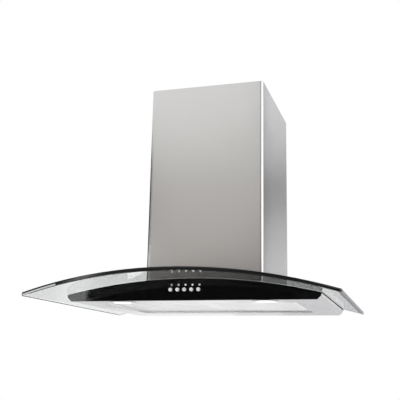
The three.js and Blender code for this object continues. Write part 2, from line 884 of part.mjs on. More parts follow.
// The scroll's outline, seen from the right: a spiral from the cut-off to the outlet side, a
// straight back wall up to the mouth and a leaning front wall down to the cut-off.
const mouthZ = lidTop - sheet - seat - scrollZ;
function scrollOutline(inset, rise) {
  const start = THREE.MathUtils.degToRad(scrollStartAngle);
  const steps = 36;
  const spiral = Array.from({ length: steps + 1 }, (_, i) => {
    const t = i / steps;
    const angle = start + (2 * Math.PI - start) * t;
    const radius = scrollStartRadius + (scrollEndRadius - scrollStartRadius) * t - inset;
    return [radius * Math.cos(angle), radius * Math.sin(angle)];
  });
  const mouth = [
    [scrollEndRadius - inset, mouthZ + rise],
    [inset - mouthLean, mouthZ + rise],
  ];
  return shapeOf([...spiral, ...mouth]);
}

function scrollHousing() {
  const half = scrollWidth / 2;
  const outer = carryRight(scrollOutline(0, 0), -half, half);
  const inner = carryRight(scrollOutline(scrollWall, sheet), -half + scrollWall, half - scrollWall);
  const bell = ring(inletRadius - 2, inletRadius + 5, half - scrollWall, half + bellReach);
  const inletRing = turnedX(bell, 28);
  const hole = turnedX(disc(inletRadius, -half - 10, half + 10), 28);
  const shell = join([outer, inletRing, inletRing.mirror([1, 0, 0])]);
  return cut(shell, [inner, hole]);
}

// One forward-curved blade: a thin strip bent from the inner to the outer radius.
function bladeOutline() {
  const steps = 2;
  const edge = (offset) =>
    Array.from({ length: steps + 1 }, (_, i) => {
      const t = i / steps;
      const radius = wheelInnerRadius + (wheelRadius - 0.5 - wheelInnerRadius) * t;
      const angle = bladeSweep * t * t + offset / radius;
      return [radius * Math.cos(angle), radius * Math.sin(angle)];
    });
  return shapeOf([...edge(-bladeThickness / 2), ...edge(bladeThickness / 2).reverse()]);
}

function impeller() {
  const half = wheelWidth / 2;
  const blade = carryRight(bladeOutline(), -half + 1, half - 1);
  const blades = Array.from({ length: bladeCount }, (_, i) =>
    blade.rotate([(360 * i) / bladeCount, 0, 0]),
  );
  const endRing = ring(wheelInnerRadius - 1, wheelRadius, half - ringThickness, half);
  const rim = turnedX(endRing, bladeCount);
  const web = turnedX(ring(shaftRadius + seat, wheelInnerRadius + 2, -1, 1), bladeCount);
  const hub = turnedX(ring(shaftRadius + seat, hubRadius, -7, 7), bladeCount);
  return join([rim, rim.mirror([1, 0, 0]), web, hub, ...blades]);
}

// The motor stands in the left half of the wheel.
function motor() {
  const left = motorRight - motorLength;
  return turnedX(
    [
      [0, left],
      [motorRadius - motorStep, left],
      [motorRadius - motorStep, left + 5],
      [motorRadius, left + 7],
      [motorRadius, motorRight - 6],
      [hubRadius, motorRight],
      [shaftRadius + seat, motorRight],
      [shaftRadius + seat, motorRight - shaftSocket],
      [0, motorRight - shaftSocket],
    ],
    20,
  );
}

function motorShaft() {
  return turnedX(disc(shaftRadius, motorRight - shaftSocket + seat, shaftRight), 20);
}

// The motor's bracket: a ring round it and three arms to the scroll's left side.
function motorBracket() {
  const plane = -scrollWidth / 2 - bellReach - seat;
  const hoopOuter = motorRadius + hoopWall;
  const armEnd = inletRadius + armReach;
  const hoop = turnedX(ring(motorRadius + seat, hoopOuter, plane - hoopLength, plane), 20);
  const arm = block(
    [plane - thickSheet, -armWidth / 2, hoopOuter - thickSheet],
    [plane, armWidth / 2, armEnd],
  );
  const foot = block(
    [plane - thickSheet, -armWidth / 2, inletRadius + 6 + seat],
    [-scrollWidth / 2 - seat, armWidth / 2, armEnd],
  );
  const leg = arm.add(foot);
  const legs = Array.from({ length: armCount }, (_, i) => leg.rotate([(360 * i) / armCount, 0, 0]));
  return join([hoop, ...legs]);
}

const blower = new THREE.Group();
blower.position.set(0, scrollY, scrollZ);
parts.add(blower);
add("scroll_housing", scrollHousing(), greyPlastic, blower);
add("impeller", impeller(), whitePlastic, blower);
add("motor_shaft", motorShaft(), chrome, blower);
add("motor", motor(), galvanised, blower);
add("motor_bracket", motorBracket(), galvanised, blower);

// ---------------------------------------------------------------- outlet collar and flaps
const flapRadius = collarRadius - collarWall - 0.8;

function outletCollar() {
  const inner = collarRadius - collarWall;
  const pinHole = turnedX(disc(pinRadius + seat, -collarFlange, collarFlange), 12);
  const tube = turnedZ(
    [
      [collarThroat, 0],
      [collarFlange, 0],
      [collarFlange, collarWall],
      [collarRadius, collarWall],
      [collarRadius, collarHeight - 6],
      [collarRadius + 1, collarHeight - 4.5],
      [collarRadius, collarHeight - 3],
      [collarRadius - 0.7, collarHeight],
      [inner, collarHeight],
      [inner, collarWall],
      [collarThroat, collarWall],
    ],
    26,
  );
  const reach = pinOffset + knuckleRadius;
  const strut = block([-inner - 0.5, -reach, 0.2], [-collarThroat + 1, reach, pinHeight + 4]);
  const struts = join([strut, strut.mirror([1, 0, 0])]);
  const pinHoles = [-pinOffset, pinOffset].map((y) => pinHole.translate([0, y, pinHeight]));
  return cut(join([tube, struts]), pinHoles);
}

// A flap: half a disc under a long knuckle, drawn for the back with its pin along X at the
// origin. The front flap is the same one turned half round.
function flap() {
  const drop = seat - pinHeight + collarWall;
  const shape = new THREE.Shape();
  shape.absarc(0, -pinOffset, flapRadius, 0, Math.PI);
  const side = collarThroat - 2;
  const keep = block([-side, seat - pinOffset, -pinHeight], [side, flapRadius, pinHeight]);
  const plate = raise(shape, drop, drop + flapThickness, 20).intersect(keep);
  const knuckle = turnedX(disc(knuckleRadius, -knuckleLength / 2, knuckleLength / 2), 16);
  const bore = turnedX(disc(pinRadius + seat, -collarRadius, collarRadius), 12);
  return plate.add(knuckle).subtract(bore);
}

const outlet = new THREE.Group();
outlet.position.set(0, collarY, lidTop + seat);
parts.add(outlet);
add("outlet_collar", outletCollar(), greyPlastic, outlet);
const flapSides = [
  ["rear", 0],
  ["front", Math.PI],
];
for (const [side, turn] of flapSides) {
  const half = new THREE.Group();
  half.rotation.z = turn;
  outlet.add(half);
  const pin = turnedX(disc(pinRadius, -collarRadius + 0.5, collarRadius - 0.5), 12);
  add(`flap_pin_${side}`, pin, chrome, half).position.set(0, pinOffset, pinHeight);
  add(`flap_${side}`, flap(), greyPlastic, half).position.set(0, pinOffset, pinHeight);
}

// ---------------------------------------------------------------- terminal box
const terminalBack = collarY - collarFlange - terminalGap;
function terminalBox() {
  const low = lidTop + seat;
  return block(
    [-terminalWidth / 2, terminalBack - terminalDepth, low],
    [terminalWidth / 2, terminalBack, low + terminalHeight],
  );
}
add("terminal_box", terminalBox(), darkPlastic);

// The gland on the terminal box's right side, where a lead would go in.
function cableGland() {
  return turnedX(
    [
      [glandRadius - 3, 0],
      [glandRadius + 2, 0],
      [glandRadius + 2, 4],
      [glandRadius, 5],
      [glandRadius, glandLength - 3],
      [glandRadius - 2, glandLength],
      [glandRadius - 3, glandLength],
    ],
    12,
  );
}
add("cable_gland", cableGland(), darkPlastic).position.set(
  terminalWidth / 2 + seat,
  terminalBack - terminalDepth / 2,
  lidTop + seat + terminalHeight / 2,
);

// ---------------------------------------------------------------- fixings
function glassBolt() {
  const end = -topSheetDepth - sheet - seat - nutHeight - boltBeyondNut;
  return turnedZ(
    [
      [0, end],
      [boltRadius, end],
      [boltRadius, seat],
      [boltHeadRadius, seat],
      [boltHeadRadius, boltHeadHeight * 0.5],
      [boltHeadRadius * 0.85, boltHeadHeight * 0.87],
      [boltHeadRadius * 0.5, boltHeadHeight],
      [0, boltHeadHeight + 0.1],
    ],
    14,
  );
}

function glassWasher() {
  const top = -glassThickness - seat;
  return turnedZ(ring(boltRadius + seat, washerRadius, top - washerThickness, top), 12);
}

function glassNut() {
  const top = -topSheetDepth - sheet - seat;
  const hexagon = new THREE.CylinderGeometry(nutRadius, nutRadius, nutHeight, 6);
  const blank = solidOf(hexagon.rotateX(Math.PI / 2).translate(0, 0, top - nutHeight / 2));
  return blank.subtract(turnedZ(disc(boltRadius + seat, top - 2 * nutHeight, top + sheet), 10));
}

fixings.forEach((group, i) => {
  parts.add(group);
  add(`glass_bolt_${i + 1}`, glassBolt(), chrome, group);
  add(`glass_washer_${i + 1}`, glassWasher(), rubber, group);
  add(`glass_nut_${i + 1}`, glassNut(), galvanised, group);
});

// A wall hook: a plate on the wall, in the body's slot, with a lip up behind the body's back.
function wallHook() {
  const back = -sheet - seat;
  const front = back - thickSheet;
  const section = shapeOf([
    [-thickSheet, hookSeat - hookPlate],
    [0, hookSeat - hookPlate],
    [0, hookSeat],
    [back, hookSeat],
    [back, hookSeat + hookLip],
    [front, hookSeat + hookLip],
    [front, hookSeat - thickSheet],
    [-thickSheet, hookSeat - thickSheet],
  ]);
  const screwZ = hookSeat - (hookPlate + thickSheet) / 2;
  const screw = turnedY(disc(screwRadius, 2 * front, sheet), 16).translate([0, 0, screwZ]);
  return carryRight(section, -hookWidth / 2, hookWidth / 2).subtract(screw);
}
add("wall_hook_left", wallHook(), galvanised).position.x = -hookX;
add("wall_hook_right", wallHook(), galvanised).position.x = hookX;

export default parts;
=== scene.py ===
"""Looks for a wall-hung range hood with a bent glass canopy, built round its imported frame.

Metres. X runs to the right, -Y to the front and Z up. The wall is the plane y = 0 and the origin
lies on the body's back wall, on the centre line. Run as a script, it dresses every piece of the
frame, adds the fine pieces that the frame leaves out, and sets up a plain pale studio.
"""

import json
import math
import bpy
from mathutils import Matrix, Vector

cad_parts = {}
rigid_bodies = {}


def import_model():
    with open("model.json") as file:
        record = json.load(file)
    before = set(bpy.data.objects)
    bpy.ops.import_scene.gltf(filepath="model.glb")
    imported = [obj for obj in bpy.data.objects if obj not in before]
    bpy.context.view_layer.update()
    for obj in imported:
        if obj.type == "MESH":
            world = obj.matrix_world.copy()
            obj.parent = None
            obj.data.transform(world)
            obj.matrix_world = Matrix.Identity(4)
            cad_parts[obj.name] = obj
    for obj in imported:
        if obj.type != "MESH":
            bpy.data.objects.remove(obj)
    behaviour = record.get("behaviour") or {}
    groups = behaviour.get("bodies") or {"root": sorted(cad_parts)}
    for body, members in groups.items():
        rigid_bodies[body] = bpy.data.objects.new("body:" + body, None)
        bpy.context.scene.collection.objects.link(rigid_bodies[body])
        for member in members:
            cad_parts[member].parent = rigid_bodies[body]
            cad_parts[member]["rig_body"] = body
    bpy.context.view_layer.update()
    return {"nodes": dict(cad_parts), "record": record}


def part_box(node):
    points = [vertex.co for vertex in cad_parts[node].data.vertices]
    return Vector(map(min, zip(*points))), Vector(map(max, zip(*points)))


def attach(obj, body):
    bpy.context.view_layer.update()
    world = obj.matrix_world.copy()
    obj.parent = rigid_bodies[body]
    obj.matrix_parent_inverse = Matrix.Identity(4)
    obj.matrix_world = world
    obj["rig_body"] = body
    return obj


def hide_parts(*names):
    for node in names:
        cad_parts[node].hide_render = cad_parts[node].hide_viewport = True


bl_info = {
    "name": "Glass Canopy Range Hood",
    "version": (1, 0, 0),
    "blender": (4, 5, 0),
    "location": "View3D > Sidebar > Hood",
    "description": "Dresses the hood's glass, steel covers, filters, lamps and controls",
    "category": "Object",
}

import bmesh
import bpy
import numpy as np
from bpy.props import FloatProperty, FloatVectorProperty, IntProperty, PointerProperty
from mathutils import Matrix, Vector

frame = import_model()

MM = 0.001
SEAT = 0.3 * MM  # gap between pieces that touch
SHEET = 1.0 * MM  # steel sheet
SEAL = 1.0 * MM  # soft strip beside the body, under the glass
GLASS_LOW, GLASS_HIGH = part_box("glass_canopy")
BOX_LOW, BOX_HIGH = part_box("blower_box")
COVER_LOW, COVER_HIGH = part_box("chimney_lower")
COLLAR_LOW, COLLAR_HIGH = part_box("outlet_collar")
SIDES = ("left", "right")


# ------------------------------------------------------------------ settings
def length(name, value, description):
    """A size in metres."""
    return FloatProperty(name=name, description=description, default=value, unit="LENGTH")


def colour(name, value, description):
    """A linear colour."""
    return FloatVectorProperty(
        name=name, description=description, default=value, size=3, subtype="COLOR", min=0, max=1
    )


class HoodGlassSettings(bpy.types.PropertyGroup):
    """The bent glass canopy."""

    width: length("Width", GLASS_HIGH.x - GLASS_LOW.x, "Side to side")
    bow: length("Bow", 0.019, "How far the front edge stands forward on the centre line")
    rise: length("Rise", 0.0412, "Height of the arch over the full width")
    thickness: length("Thickness", 0.006, "Thickness of the sheet")
    corner: length("Corner Radius", 0.004, "Radius of the front corners in plan")
    margin: length("Cut-out Margin", 0.0035, "Room between the glass and the blower box")
    polish: length("Edge Rounding", 0.0006, "Radius that is ground onto the edges")
    tint: colour("Tint", (0.985, 0.992, 0.99), "Colour that light takes on at the surface")
    depth_tint: colour("Depth Tint", (0.35, 0.5, 0.48), "Colour that is left after a long way")


class HoodSteelSettings(bpy.types.PropertyGroup):
    """The folded steel covers and the body."""

    fold: length("Fold Radius", 0.0046, "Outer radius of the cover's folds")
    flange: length("Flange", 0.013, "Width of the cover's rear flanges")
    steel: colour("Pan Steel", (0.86, 0.85, 0.845), "Brushed stainless steel of the body")
    cover: colour("Cover Steel", (0.66, 0.655, 0.645), "Brushed stainless steel of the covers")
    zinc: colour("Zinc", (0.52, 0.535, 0.55), "Galvanised sheet")


class HoodFilterSettings(bpy.types.PropertyGroup):
    """The expanded metal in the filter cassettes."""

    long_way: length("Long Way", 0.009, "Length of a diamond, side to side")
    short_way: length("Short Way", 0.0052, "Width of a diamond, front to back")
    strand: length("Strand", 0.0034, "Width of a strand")
    aluminium: colour("Aluminium", (0.97, 0.97, 0.97), "Filter frames and mesh")


class HoodControlSettings(bpy.types.PropertyGroup):
    """The push buttons, indicators and lamps."""

    button_radius: length("Button Radius", 0.0036, "Radius of a button's cap, ahead of the panel")
    lens_radius: length("Indicator Radius", 0.0014, "Radius of an indicator's dome")
    lens_shift: length("Indicator Shift", 0.0016, "Indicators to the right of their buttons")
    grooves: IntProperty(
        name="Grooves", description="Turned rings on each button's face", default=3, min=0, max=6
    )
    panel: colour("Panel", (0.0035, 0.0035, 0.004), "Black gloss of the control panel")
    lamp_cool: colour("Left Lamp", (1.0, 0.98, 0.95), "Light of the left lamp's glass")
    lamp_warm: colour("Right Lamp", (1.0, 0.86, 0.62), "Light of the right lamp's glass")


class HoodStudioSettings(bpy.types.PropertyGroup):
    """The studio that the hood is shown in."""

    floor_level: length("Floor Level", -0.3, "Height of the studio's floor")
    floor_size: length("Floor Size", 3.0, "Side of the square floor")
    floor: colour("Floor", (0.80, 0.80, 0.80), "Pale floor")
    ambient: FloatProperty(
        name="Ambient", description="Strength of the even light from all round", default=0.55
    )


SETTINGS = {
    "hood_glass": HoodGlassSettings,
    "hood_steel": HoodSteelSettings,
    "hood_filter": HoodFilterSettings,
    "hood_control": HoodControlSettings,
    "hood_studio": HoodStudioSettings,
}


# ------------------------------------------------------------------ meshes from arrays
def cells(rows, columns, wrap_rows=False, wrap_columns=False):
    """Corner numbers of the four-sided cells between the rows and columns of a grid of points."""
    i = np.arange(rows if wrap_rows else rows - 1)[:, None]
    j = np.arange(columns if wrap_columns else columns - 1)[None, :]
    down, along = (i + 1) % rows, (j + 1) % columns
    corners = [i * columns + j, i * columns + along, down * columns + along, down * columns + j]
    return np.stack([np.broadcast_to(c, (i.size, j.size)) for c in corners], -1).reshape(-1, 4)


def piece(name, points, faces, material, body="hood", smooth=35.0, merge=1e-7):
    """One object at the origin from arrays of points and faces, merged, facing out, on a body."""
    mesh = bpy.data.meshes.new(name)
    mesh.from_pydata(points.reshape(-1, 3).tolist(), [], faces.tolist())
    drawn = bmesh.new()
    drawn.from_mesh(mesh)
    bmesh.ops.remove_doubles(drawn, verts=drawn.verts, dist=merge)
    bmesh.ops.dissolve_degenerate(drawn, edges=drawn.edges, dist=merge)
    bmesh.ops.recalc_face_normals(drawn, faces=drawn.faces)
    drawn.to_mesh(mesh)
    drawn.free()
    shade(mesh, smooth)
    mesh.materials.append(material)
    made = bpy.data.objects.new(name, mesh)
    bpy.context.scene.collection.objects.link(made)
    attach(made, body)
    return made


def shade(mesh, angle):
    """Smooth shading with sharp edges where faces meet at more than an angle in degrees."""
    mesh.polygons.foreach_set("use_smooth", np.ones(len(mesh.polygons), bool))
    mesh.set_sharp_from_angle(angle=math.radians(angle))
    mesh.update()


def rounded(profile, radius, steps=4):
    """A closed outline with each corner replaced by a curve that starts and ends a radius away.

    The curve between the two points a and b is the parabola (1-t)^2 a + 2t(1-t) corner + t^2 b.
    """
    corner = np.asarray(profile, float)
    before, after = np.roll(corner, 1, 0) - corner, np.roll(corner, -1, 0) - corner
    reach_before = np.linalg.norm(before, axis=1, keepdims=True)
    reach_after = np.linalg.norm(after, axis=1, keepdims=True)
    near = np.minimum(radius, 0.45 * np.minimum(reach_before, reach_after))
    start, end = corner + before / reach_before * near, corner + after / reach_after * near
    t = np.linspace(0, 1, steps + 1)[None, :, None]
    curve = (1 - t) ** 2 * start[:, None] + 2 * t * (1 - t) * corner[:, None] + t**2 * end[:, None]
    return curve.reshape(-1, 2)


def turned(profile, axis, centre, segments=48, closed=True):
    """Points and faces of an outline of (radius, height) turned round an axis through a centre.

    A point at angle a is (radius cos a, radius sin a, height), with the height along the axis.
    """
    profile = np.asarray(profile, float)
    angle = np.linspace(0, 2 * np.pi, segments, endpoint=False)[:, None]
    across, up = profile[:, 0] * np.cos(angle), profile[:, 0] * np.sin(angle)
    along = np.broadcast_to(profile[:, 1], across.shape)
    order = {"X": (along, across, up), "Y": (across, along, up), "Z": (across, up, along)}
    points = np.stack(order[axis], -1) + np.asarray(centre, float)
    return points, cells(segments, len(profile), True, closed)


def arch(x, depth=0.0):
    """Height of the arch at x: a circle's top, a depth below the glass's top and square to it."""
    glass = bpy.context.scene.hood_glass
    radius = (glass.width / 2) ** 2 / (2 * glass.rise) + glass.rise / 2
    return GLASS_HIGH.z - radius + np.sqrt((radius - depth) ** 2 - np.asarray(x) ** 2)


def strip(outer, inner, low, high, levels=2):
    """Points and faces of a bent sheet: an outer and an inner path in plan, carried upwards.

    Point (i, k) runs up the outer path and down the inner one, so each row is a closed loop round
    the sheet's thickness, and the two ends of the paths are closed by caps.
    """
    rise = np.linspace(0, 1, levels)
    sides = []
    for path, part in ((outer, rise), (inner, rise[::-1])):
        height = low(path[:, 0])[:, None] * (1 - part) + high * part
        plan = np.broadcast_to(path[:, None, :], (len(path), levels, 2))
        sides.append(np.concatenate([plan, height[..., None]], -1))
    points = np.concatenate(sides, 1)
    rows, loop = points.shape[:2]
    k = np.arange(levels - 1)
    cap = np.stack([k, k + 1, loop - 2 - k, loop - 1 - k], -1)
    faces = np.concatenate([cells(rows, loop, False, True), cap, cap[:, ::-1] + (rows - 1) * loop])
    return points, faces


# ------------------------------------------------------------------ materials
class Finish:
    """A node material with a Principled surface, and short calls to add to it."""

    MIX_DARK, MIX_LIGHT, MIX_COLOUR = 6, 7, 2  # the Mix node's two colour inputs and its output

    def __init__(self, name, **sockets):
        self.material = bpy.data.materials.new(name)
        self.material.use_nodes = True
        self.tree = self.material.node_tree
        self.tree.nodes.clear()
        self.output = self.add("ShaderNodeOutputMaterial")
        self.surface = self.add("ShaderNodeBsdfPrincipled", **sockets)
        self.join(self.surface.outputs["BSDF"], self.output.inputs["Surface"])

    def add(self, kind, attributes=None, **sockets):
        """A node with its attributes and the values of its sockets, or the links to them."""
        node = self.tree.nodes.new(kind)
        for name, value in (attributes or {}).items():
            setattr(node, name, value)
        for name, value in sockets.items():
            socket = node.inputs[name.replace("_", " ")]
            if isinstance(value, bpy.types.NodeSocket):
                self.join(value, socket)
            else:
                socket.default_value = (*value, 1) if socket.type == "RGBA" else value
        return node

    def join(self, output, socket):
        """A link from an output to an input."""
        self.tree.links.new(output, socket)

    def place(self, scale=(1, 1, 1)):
        """Object coordinates, stretched along each axis."""
        start = self.add("ShaderNodeTexCoord").outputs["Object"]
        return self.add("ShaderNodeMapping", Vector=start, Scale=scale).outputs["Vector"]

    def noise(self, stretch, scale, detail=2.0, roughness=0.5):
        """Noise on stretched object coordinates, about 0.5."""
        node = self.add("ShaderNodeTexNoise", Vector=self.place(stretch), Scale=scale)
        node.inputs["Detail"].default_value = detail
        node.inputs["Roughness"].default_value = roughness
        return node.outputs["Fac"]

    def spread(self, value, low, high, start=0.3, end=0.7):
        """A value between start and end, spread to between low and high."""
        node = self.add("ShaderNodeMapRange", Value=value)
        names = ("From Min", "From Max", "To Min", "To Max")
        for name, number in zip(names, (start, end, low, high)):
            node.inputs[name].default_value = number
        return node.outputs["Result"]

    def between(self, value, dark, light):
        """The colours between two, by a value."""
        node = self.add("ShaderNodeMix", {"data_type": "RGBA"})
        self.join(value, node.inputs["Factor"])
        node.inputs[self.MIX_DARK].default_value = (*dark, 1)
        node.inputs[self.MIX_LIGHT].default_value = (*light, 1)
        return node.outputs[self.MIX_COLOUR]

    def set(self, **links):
        """Joins values to the surface's sockets."""
        for name, value in links.items():
            self.join(value, self.surface.inputs[name.replace("_", " ")])
        return self

    def bump(self, height, strength, distance=0.1 * MM):
        """Raises the surface by a value."""
        node = self.add("ShaderNodeBump", Strength=strength, Distance=distance, Height=height)
        return self.set(Normal=node.outputs["Normal"])

    def reckon(self, operation, first, second):
        """The result of an operation on two values."""
        node = self.add("ShaderNodeMath", {"operation": operation})
        self.join(first, node.inputs[0])
        self.join(second, node.inputs[1])
        return node.outputs[0]

    def show_instead(self, share, other):
        """Mixes another shader in over the surface, by a share."""
        mixed = self.add("ShaderNodeMixShader", Fac=share)
        self.join(self.surface.outputs["BSDF"], mixed.inputs[1])
        self.join(other, mixed.inputs[2])
        self.join(mixed.outputs["Shader"], self.output.inputs["Surface"])
        return self.material

    def glow(self, value, strength):
        """Makes the surface glow and nothing else."""
        light = self.add("ShaderNodeEmission", Color=value, Strength=strength)
        self.join(light.outputs["Emission"], self.output.inputs["Surface"])
        return self.material


def shaded(base, factor):
    """A colour made darker or lighter."""
    return tuple(min(1.0, channel * factor) for channel in base)


# How often the streaks of a grain change in a metre, along X, Y and Z.
GRAIN = {"upright": (900, 900, 9), "across": (9, 900, 900), "inward": (900, 9, 900)}


def brushed(name, base, grain, rough=0.3, depth=0.12, metallic=1.0):
    """Brushed metal: fine streaks along one axis in tone, gloss and surface, a little uneven."""
    made = Finish(name, Metallic=metallic, Anisotropic=0.4)
    streak = made.noise(GRAIN[grain], 1.0, 3.0, 0.6)
    cloud = made.noise((1, 1, 1), 7.0, 2.0)
    tone = made.spread(streak, 0, 1)
    made.set(Base_Color=made.between(tone, shaded(base, 0.97), shaded(base, 1.03)))
    fine, broad = made.spread(streak, rough - 0.05, rough + 0.05), made.spread(cloud, -0.02, 0.02)
    made.set(Roughness=made.reckon("ADD", fine, broad))
    return made.bump(streak, depth, 0.02 * MM).material


def zinc_coated(name, base):
    """Galvanised sheet: crystals of slightly different tone and gloss, with a faint grain."""
    made = Finish(name, Metallic=1.0)
    crystal = made.add("ShaderNodeTexVoronoi", Vector=made.place(), Scale=170.0)
    grey = made.add("ShaderNodeSeparateColor", Color=crystal.outputs["Color"]).outputs["Red"]
    made.set(Base_Color=made.between(grey, shaded(base, 0.86), shaded(base, 1.16)))
    made.set(Roughness=made.spread(grey, 0.34, 0.5, 0, 1))
    return made.bump(made.noise((1, 1, 1), 900.0, 3.0), 0.1).material


def polished(name, base, rough, metallic=1.0):
    """Bright plated metal with a faint haze."""
    made = Finish(name, Metallic=metallic, Base_Color=base)
    made.set(Roughness=made.spread(made.noise((1, 1, 1), 60.0, 3.0), rough * 0.7, rough * 1.5))
    return made.bump(made.noise((1, 1, 1), 400.0), 0.02).material


def moulded(name, base, rough, coarse=1600.0, depth=0.25):
    """Moulded plastic or rubber: a fine spark-eroded grain and a slightly uneven tone."""
    made = Finish(name, IOR=1.47)
    tone = made.spread(made.noise((1, 1, 1), 25.0, 3.0), 0, 1)
    made.set(Base_Color=made.between(tone, shaded(base, 0.9), shaded(base, 1.08)))
    grain = made.noise((1, 1, 1), coarse, 2.0)
    made.set(Roughness=made.spread(grain, rough - 0.06, rough + 0.06))
    return made.bump(grain, depth, 0.05 * MM).material


def gloss_black(name, base):
    """Polished black acrylic: a deep even tone, a clear skin and the faintest waviness."""
    made = Finish(name, Base_Color=base, IOR=1.49)
    made.set(Roughness=made.spread(made.noise((1, 1, 1), 35.0, 3.0), 0.035, 0.06))
    return made.bump(made.noise((1, 1, 1), 18.0, 1.0), 0.04, 0.4 * MM).material


def clear_glass(name, tint, depth_tint):
    """Clear glass that bends light and darkens along a long way, and lets shadow rays through."""
    made = Finish(name, Base_Color=tint, Transmission_Weight=1.0, IOR=1.5)
    inside = made.add("ShaderNodeVolumeAbsorption", Color=depth_tint, Density=8.0)
    made.join(inside.outputs["Volume"], made.output.inputs["Volume"])
    made.set(Roughness=made.spread(made.noise((1, 1, 1), 14.0), 0.0, 0.012))
    passing = made.add("ShaderNodeBsdfTransparent", Color=shaded(tint, 0.97))
    shadow = made.add("ShaderNodeLightPath").outputs["Is Shadow Ray"]
    return made.show_instead(shadow, passing.outputs["BSDF"])


def painted_glass_edge(name, base):
    """Painted edge under a polish, one even tone for the look of the long way through the sheet."""
    made = Finish(name, Base_Color=base, IOR=1.5)
    made.set(Roughness=made.spread(made.noise((1, 1, 1), 220.0, 2.0), 0.12, 0.2))
    return made.bump(made.noise((1, 1, 1), 900.0, 2.0), 0.05, 0.03 * MM).material


def lamp_glass(name, light, strength, base=(0.9, 0.88, 0.82)):
    """Frosted glass lit from behind, a little brighter in some places than in others."""
    made = Finish(name, Base_Color=base, IOR=1.47, Emission_Strength=strength)
    haze = made.spread(made.noise((1, 1, 1), 180.0, 2.0), 0, 1)
    made.set(Emission_Color=made.between(haze, shaded(light, 0.94), light))
    made.set(Roughness=made.spread(haze, 0.4, 0.55, 0, 1))
    return made.bump(made.noise((1, 1, 1), 1400.0), 0.2, 0.05 * MM).material


INDICATOR_COLOUR = (0.9, 0.95, 1.0)
INDICATOR_LIGHT = {
    "button_1": 0.08, "button_2": 0.3, "button_3": 0.8, "button_4": 1.0, "button_5": 0.45,
}  # how much each button's indicator is lit


def indicator_glass(lens, light):
    """An indicator's glass: the more it is lit, the paler it is and the more it glows."""
    return lamp_glass("Glow of " + lens, INDICATOR_COLOUR, 0.3 * light, (light,) * 3)


def make_finishes(scene):
    """Every finish of the hood, by the record's material slot or by the piece's own name."""
    sheet, metal, control = scene.hood_glass, scene.hood_steel, scene.hood_control
    steel, cover, zinc = tuple(metal.steel), tuple(metal.cover), tuple(metal.zinc)
    aluminium = tuple(scene.hood_filter.aluminium)
    return {
        "glass": clear_glass("Clear bent glass", tuple(sheet.tint), tuple(sheet.depth_tint)),
        # The front edge's even tones are painted: near black as painted shade, pale grey at the
        # left end as painted light.
        "painted_glass_edge": painted_glass_edge("Front edge, painted shade", (0.008, 0.009, 0.009)),
        "glass_edge_lit": painted_glass_edge("Front edge, painted light at the left end", (0.62, 0.64, 0.63)),
        "brushed_steel": brushed("Brushed steel, inward grain", steel, "inward", 0.2, 0.03),
        "cover_steel": brushed("Brushed steel, upright grain", cover, "upright", 0.2, 0.03),
        "galvanised": zinc_coated("Galvanised sheet", zinc),
        "black_gloss": gloss_black("Black gloss panel", tuple(control.panel)),
        "button_metal": polished("Turned button metal", (0.92, 0.92, 0.92), 0.28, 0.6),
        "clear_pips": lamp_glass("Light guide", INDICATOR_COLOUR, 0.04),
        "lamp_glass": lamp_glass("Lamp glass, left", tuple(control.lamp_cool), 1.1),
        "lamp_glass_warm": lamp_glass("Lamp glass, right", tuple(control.lamp_warm), 1.0),
        "chrome": polished("Chrome plate", (0.82, 0.82, 0.83), 0.09),
        "lamp_trim": brushed("Lamp trim", aluminium, "across", 0.3, 0.02, 0.4),
        "filter_aluminium": brushed("Filter aluminium", aluminium, "across", 0.34, 0.08, 0.4),
        "grey_plastic": moulded("Grey moulded plastic", (0.26, 0.27, 0.285), 0.52),
        "white_plastic": moulded("White moulded plastic", (0.78, 0.78, 0.75), 0.48),
        "dark_plastic": moulded("Dark moulded plastic", (0.028, 0.029, 0.032), 0.46),
        "rubber": moulded("Black rubber", (0.02, 0.02, 0.02), 0.78, 900.0, 0.4),
    }


FINISHES = {}


# ------------------------------------------------------------------ finishes on the frame
def slot_of(node):
    """The record's material slot of a CAD node."""
    return next(p["material_slot"] for p in frame["record"]["subparts"] if p["node"] == node)


def finish_of(node):
    """The finish of a CAD node, with the inner cover's grain and the right lamp's own light."""
    if node == "chimney_upper":
        return FINISHES["cover_steel"]
    if node == "lamp_lens_right":
        return FINISHES["lamp_glass_warm"]
    return FINISHES[slot_of(node)]


def body_with(node):
    """The body that a CAD node rides on."""
    return frame["nodes"][node]["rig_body"]


EDGE_ANGLE = 28.0  # degrees between faces from which an edge is rounded


def round_edges(made, width, segments=2, angle=EDGE_ANGLE, harden=True):
    """A bevel on the edges where an object's faces meet at more than an angle in degrees."""
    rounding = made.modifiers.new("Rounded edges", "BEVEL")
    rounding.width = width
    rounding.segments = segments
    rounding.limit_method = "ANGLE"
    rounding.angle_limit = math.radians(angle)
    rounding.harden_normals = harden


def dress(node, bevel, segments=2):
    """Replaces a CAD node with a merged copy of its mesh, rounded at its edges and smooth."""
    mesh = frame["nodes"][node].data.copy()
    mesh.materials.clear()
    mesh.materials.append(finish_of(node))
    drawn = bmesh.new()
    drawn.from_mesh(mesh)
    near, flat = 2e-6, math.radians(0.3)  # points and faces that count as one
    bmesh.ops.remove_doubles(drawn, verts=drawn.verts, dist=near)
    bmesh.ops.dissolve_degenerate(drawn, edges=drawn.edges, dist=near)
    bmesh.ops.dissolve_limit(drawn, angle_limit=flat, verts=drawn.verts, edges=drawn.edges)
    drawn.to_mesh(mesh)
    drawn.free()
    shade(mesh, EDGE_ANGLE)
    made = bpy.data.objects.new("dressed_" + node, mesh)
    bpy.context.scene.collection.objects.link(made)
    round_edges(made, bevel, segments)
    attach(made, body_with(node))
    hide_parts(node)


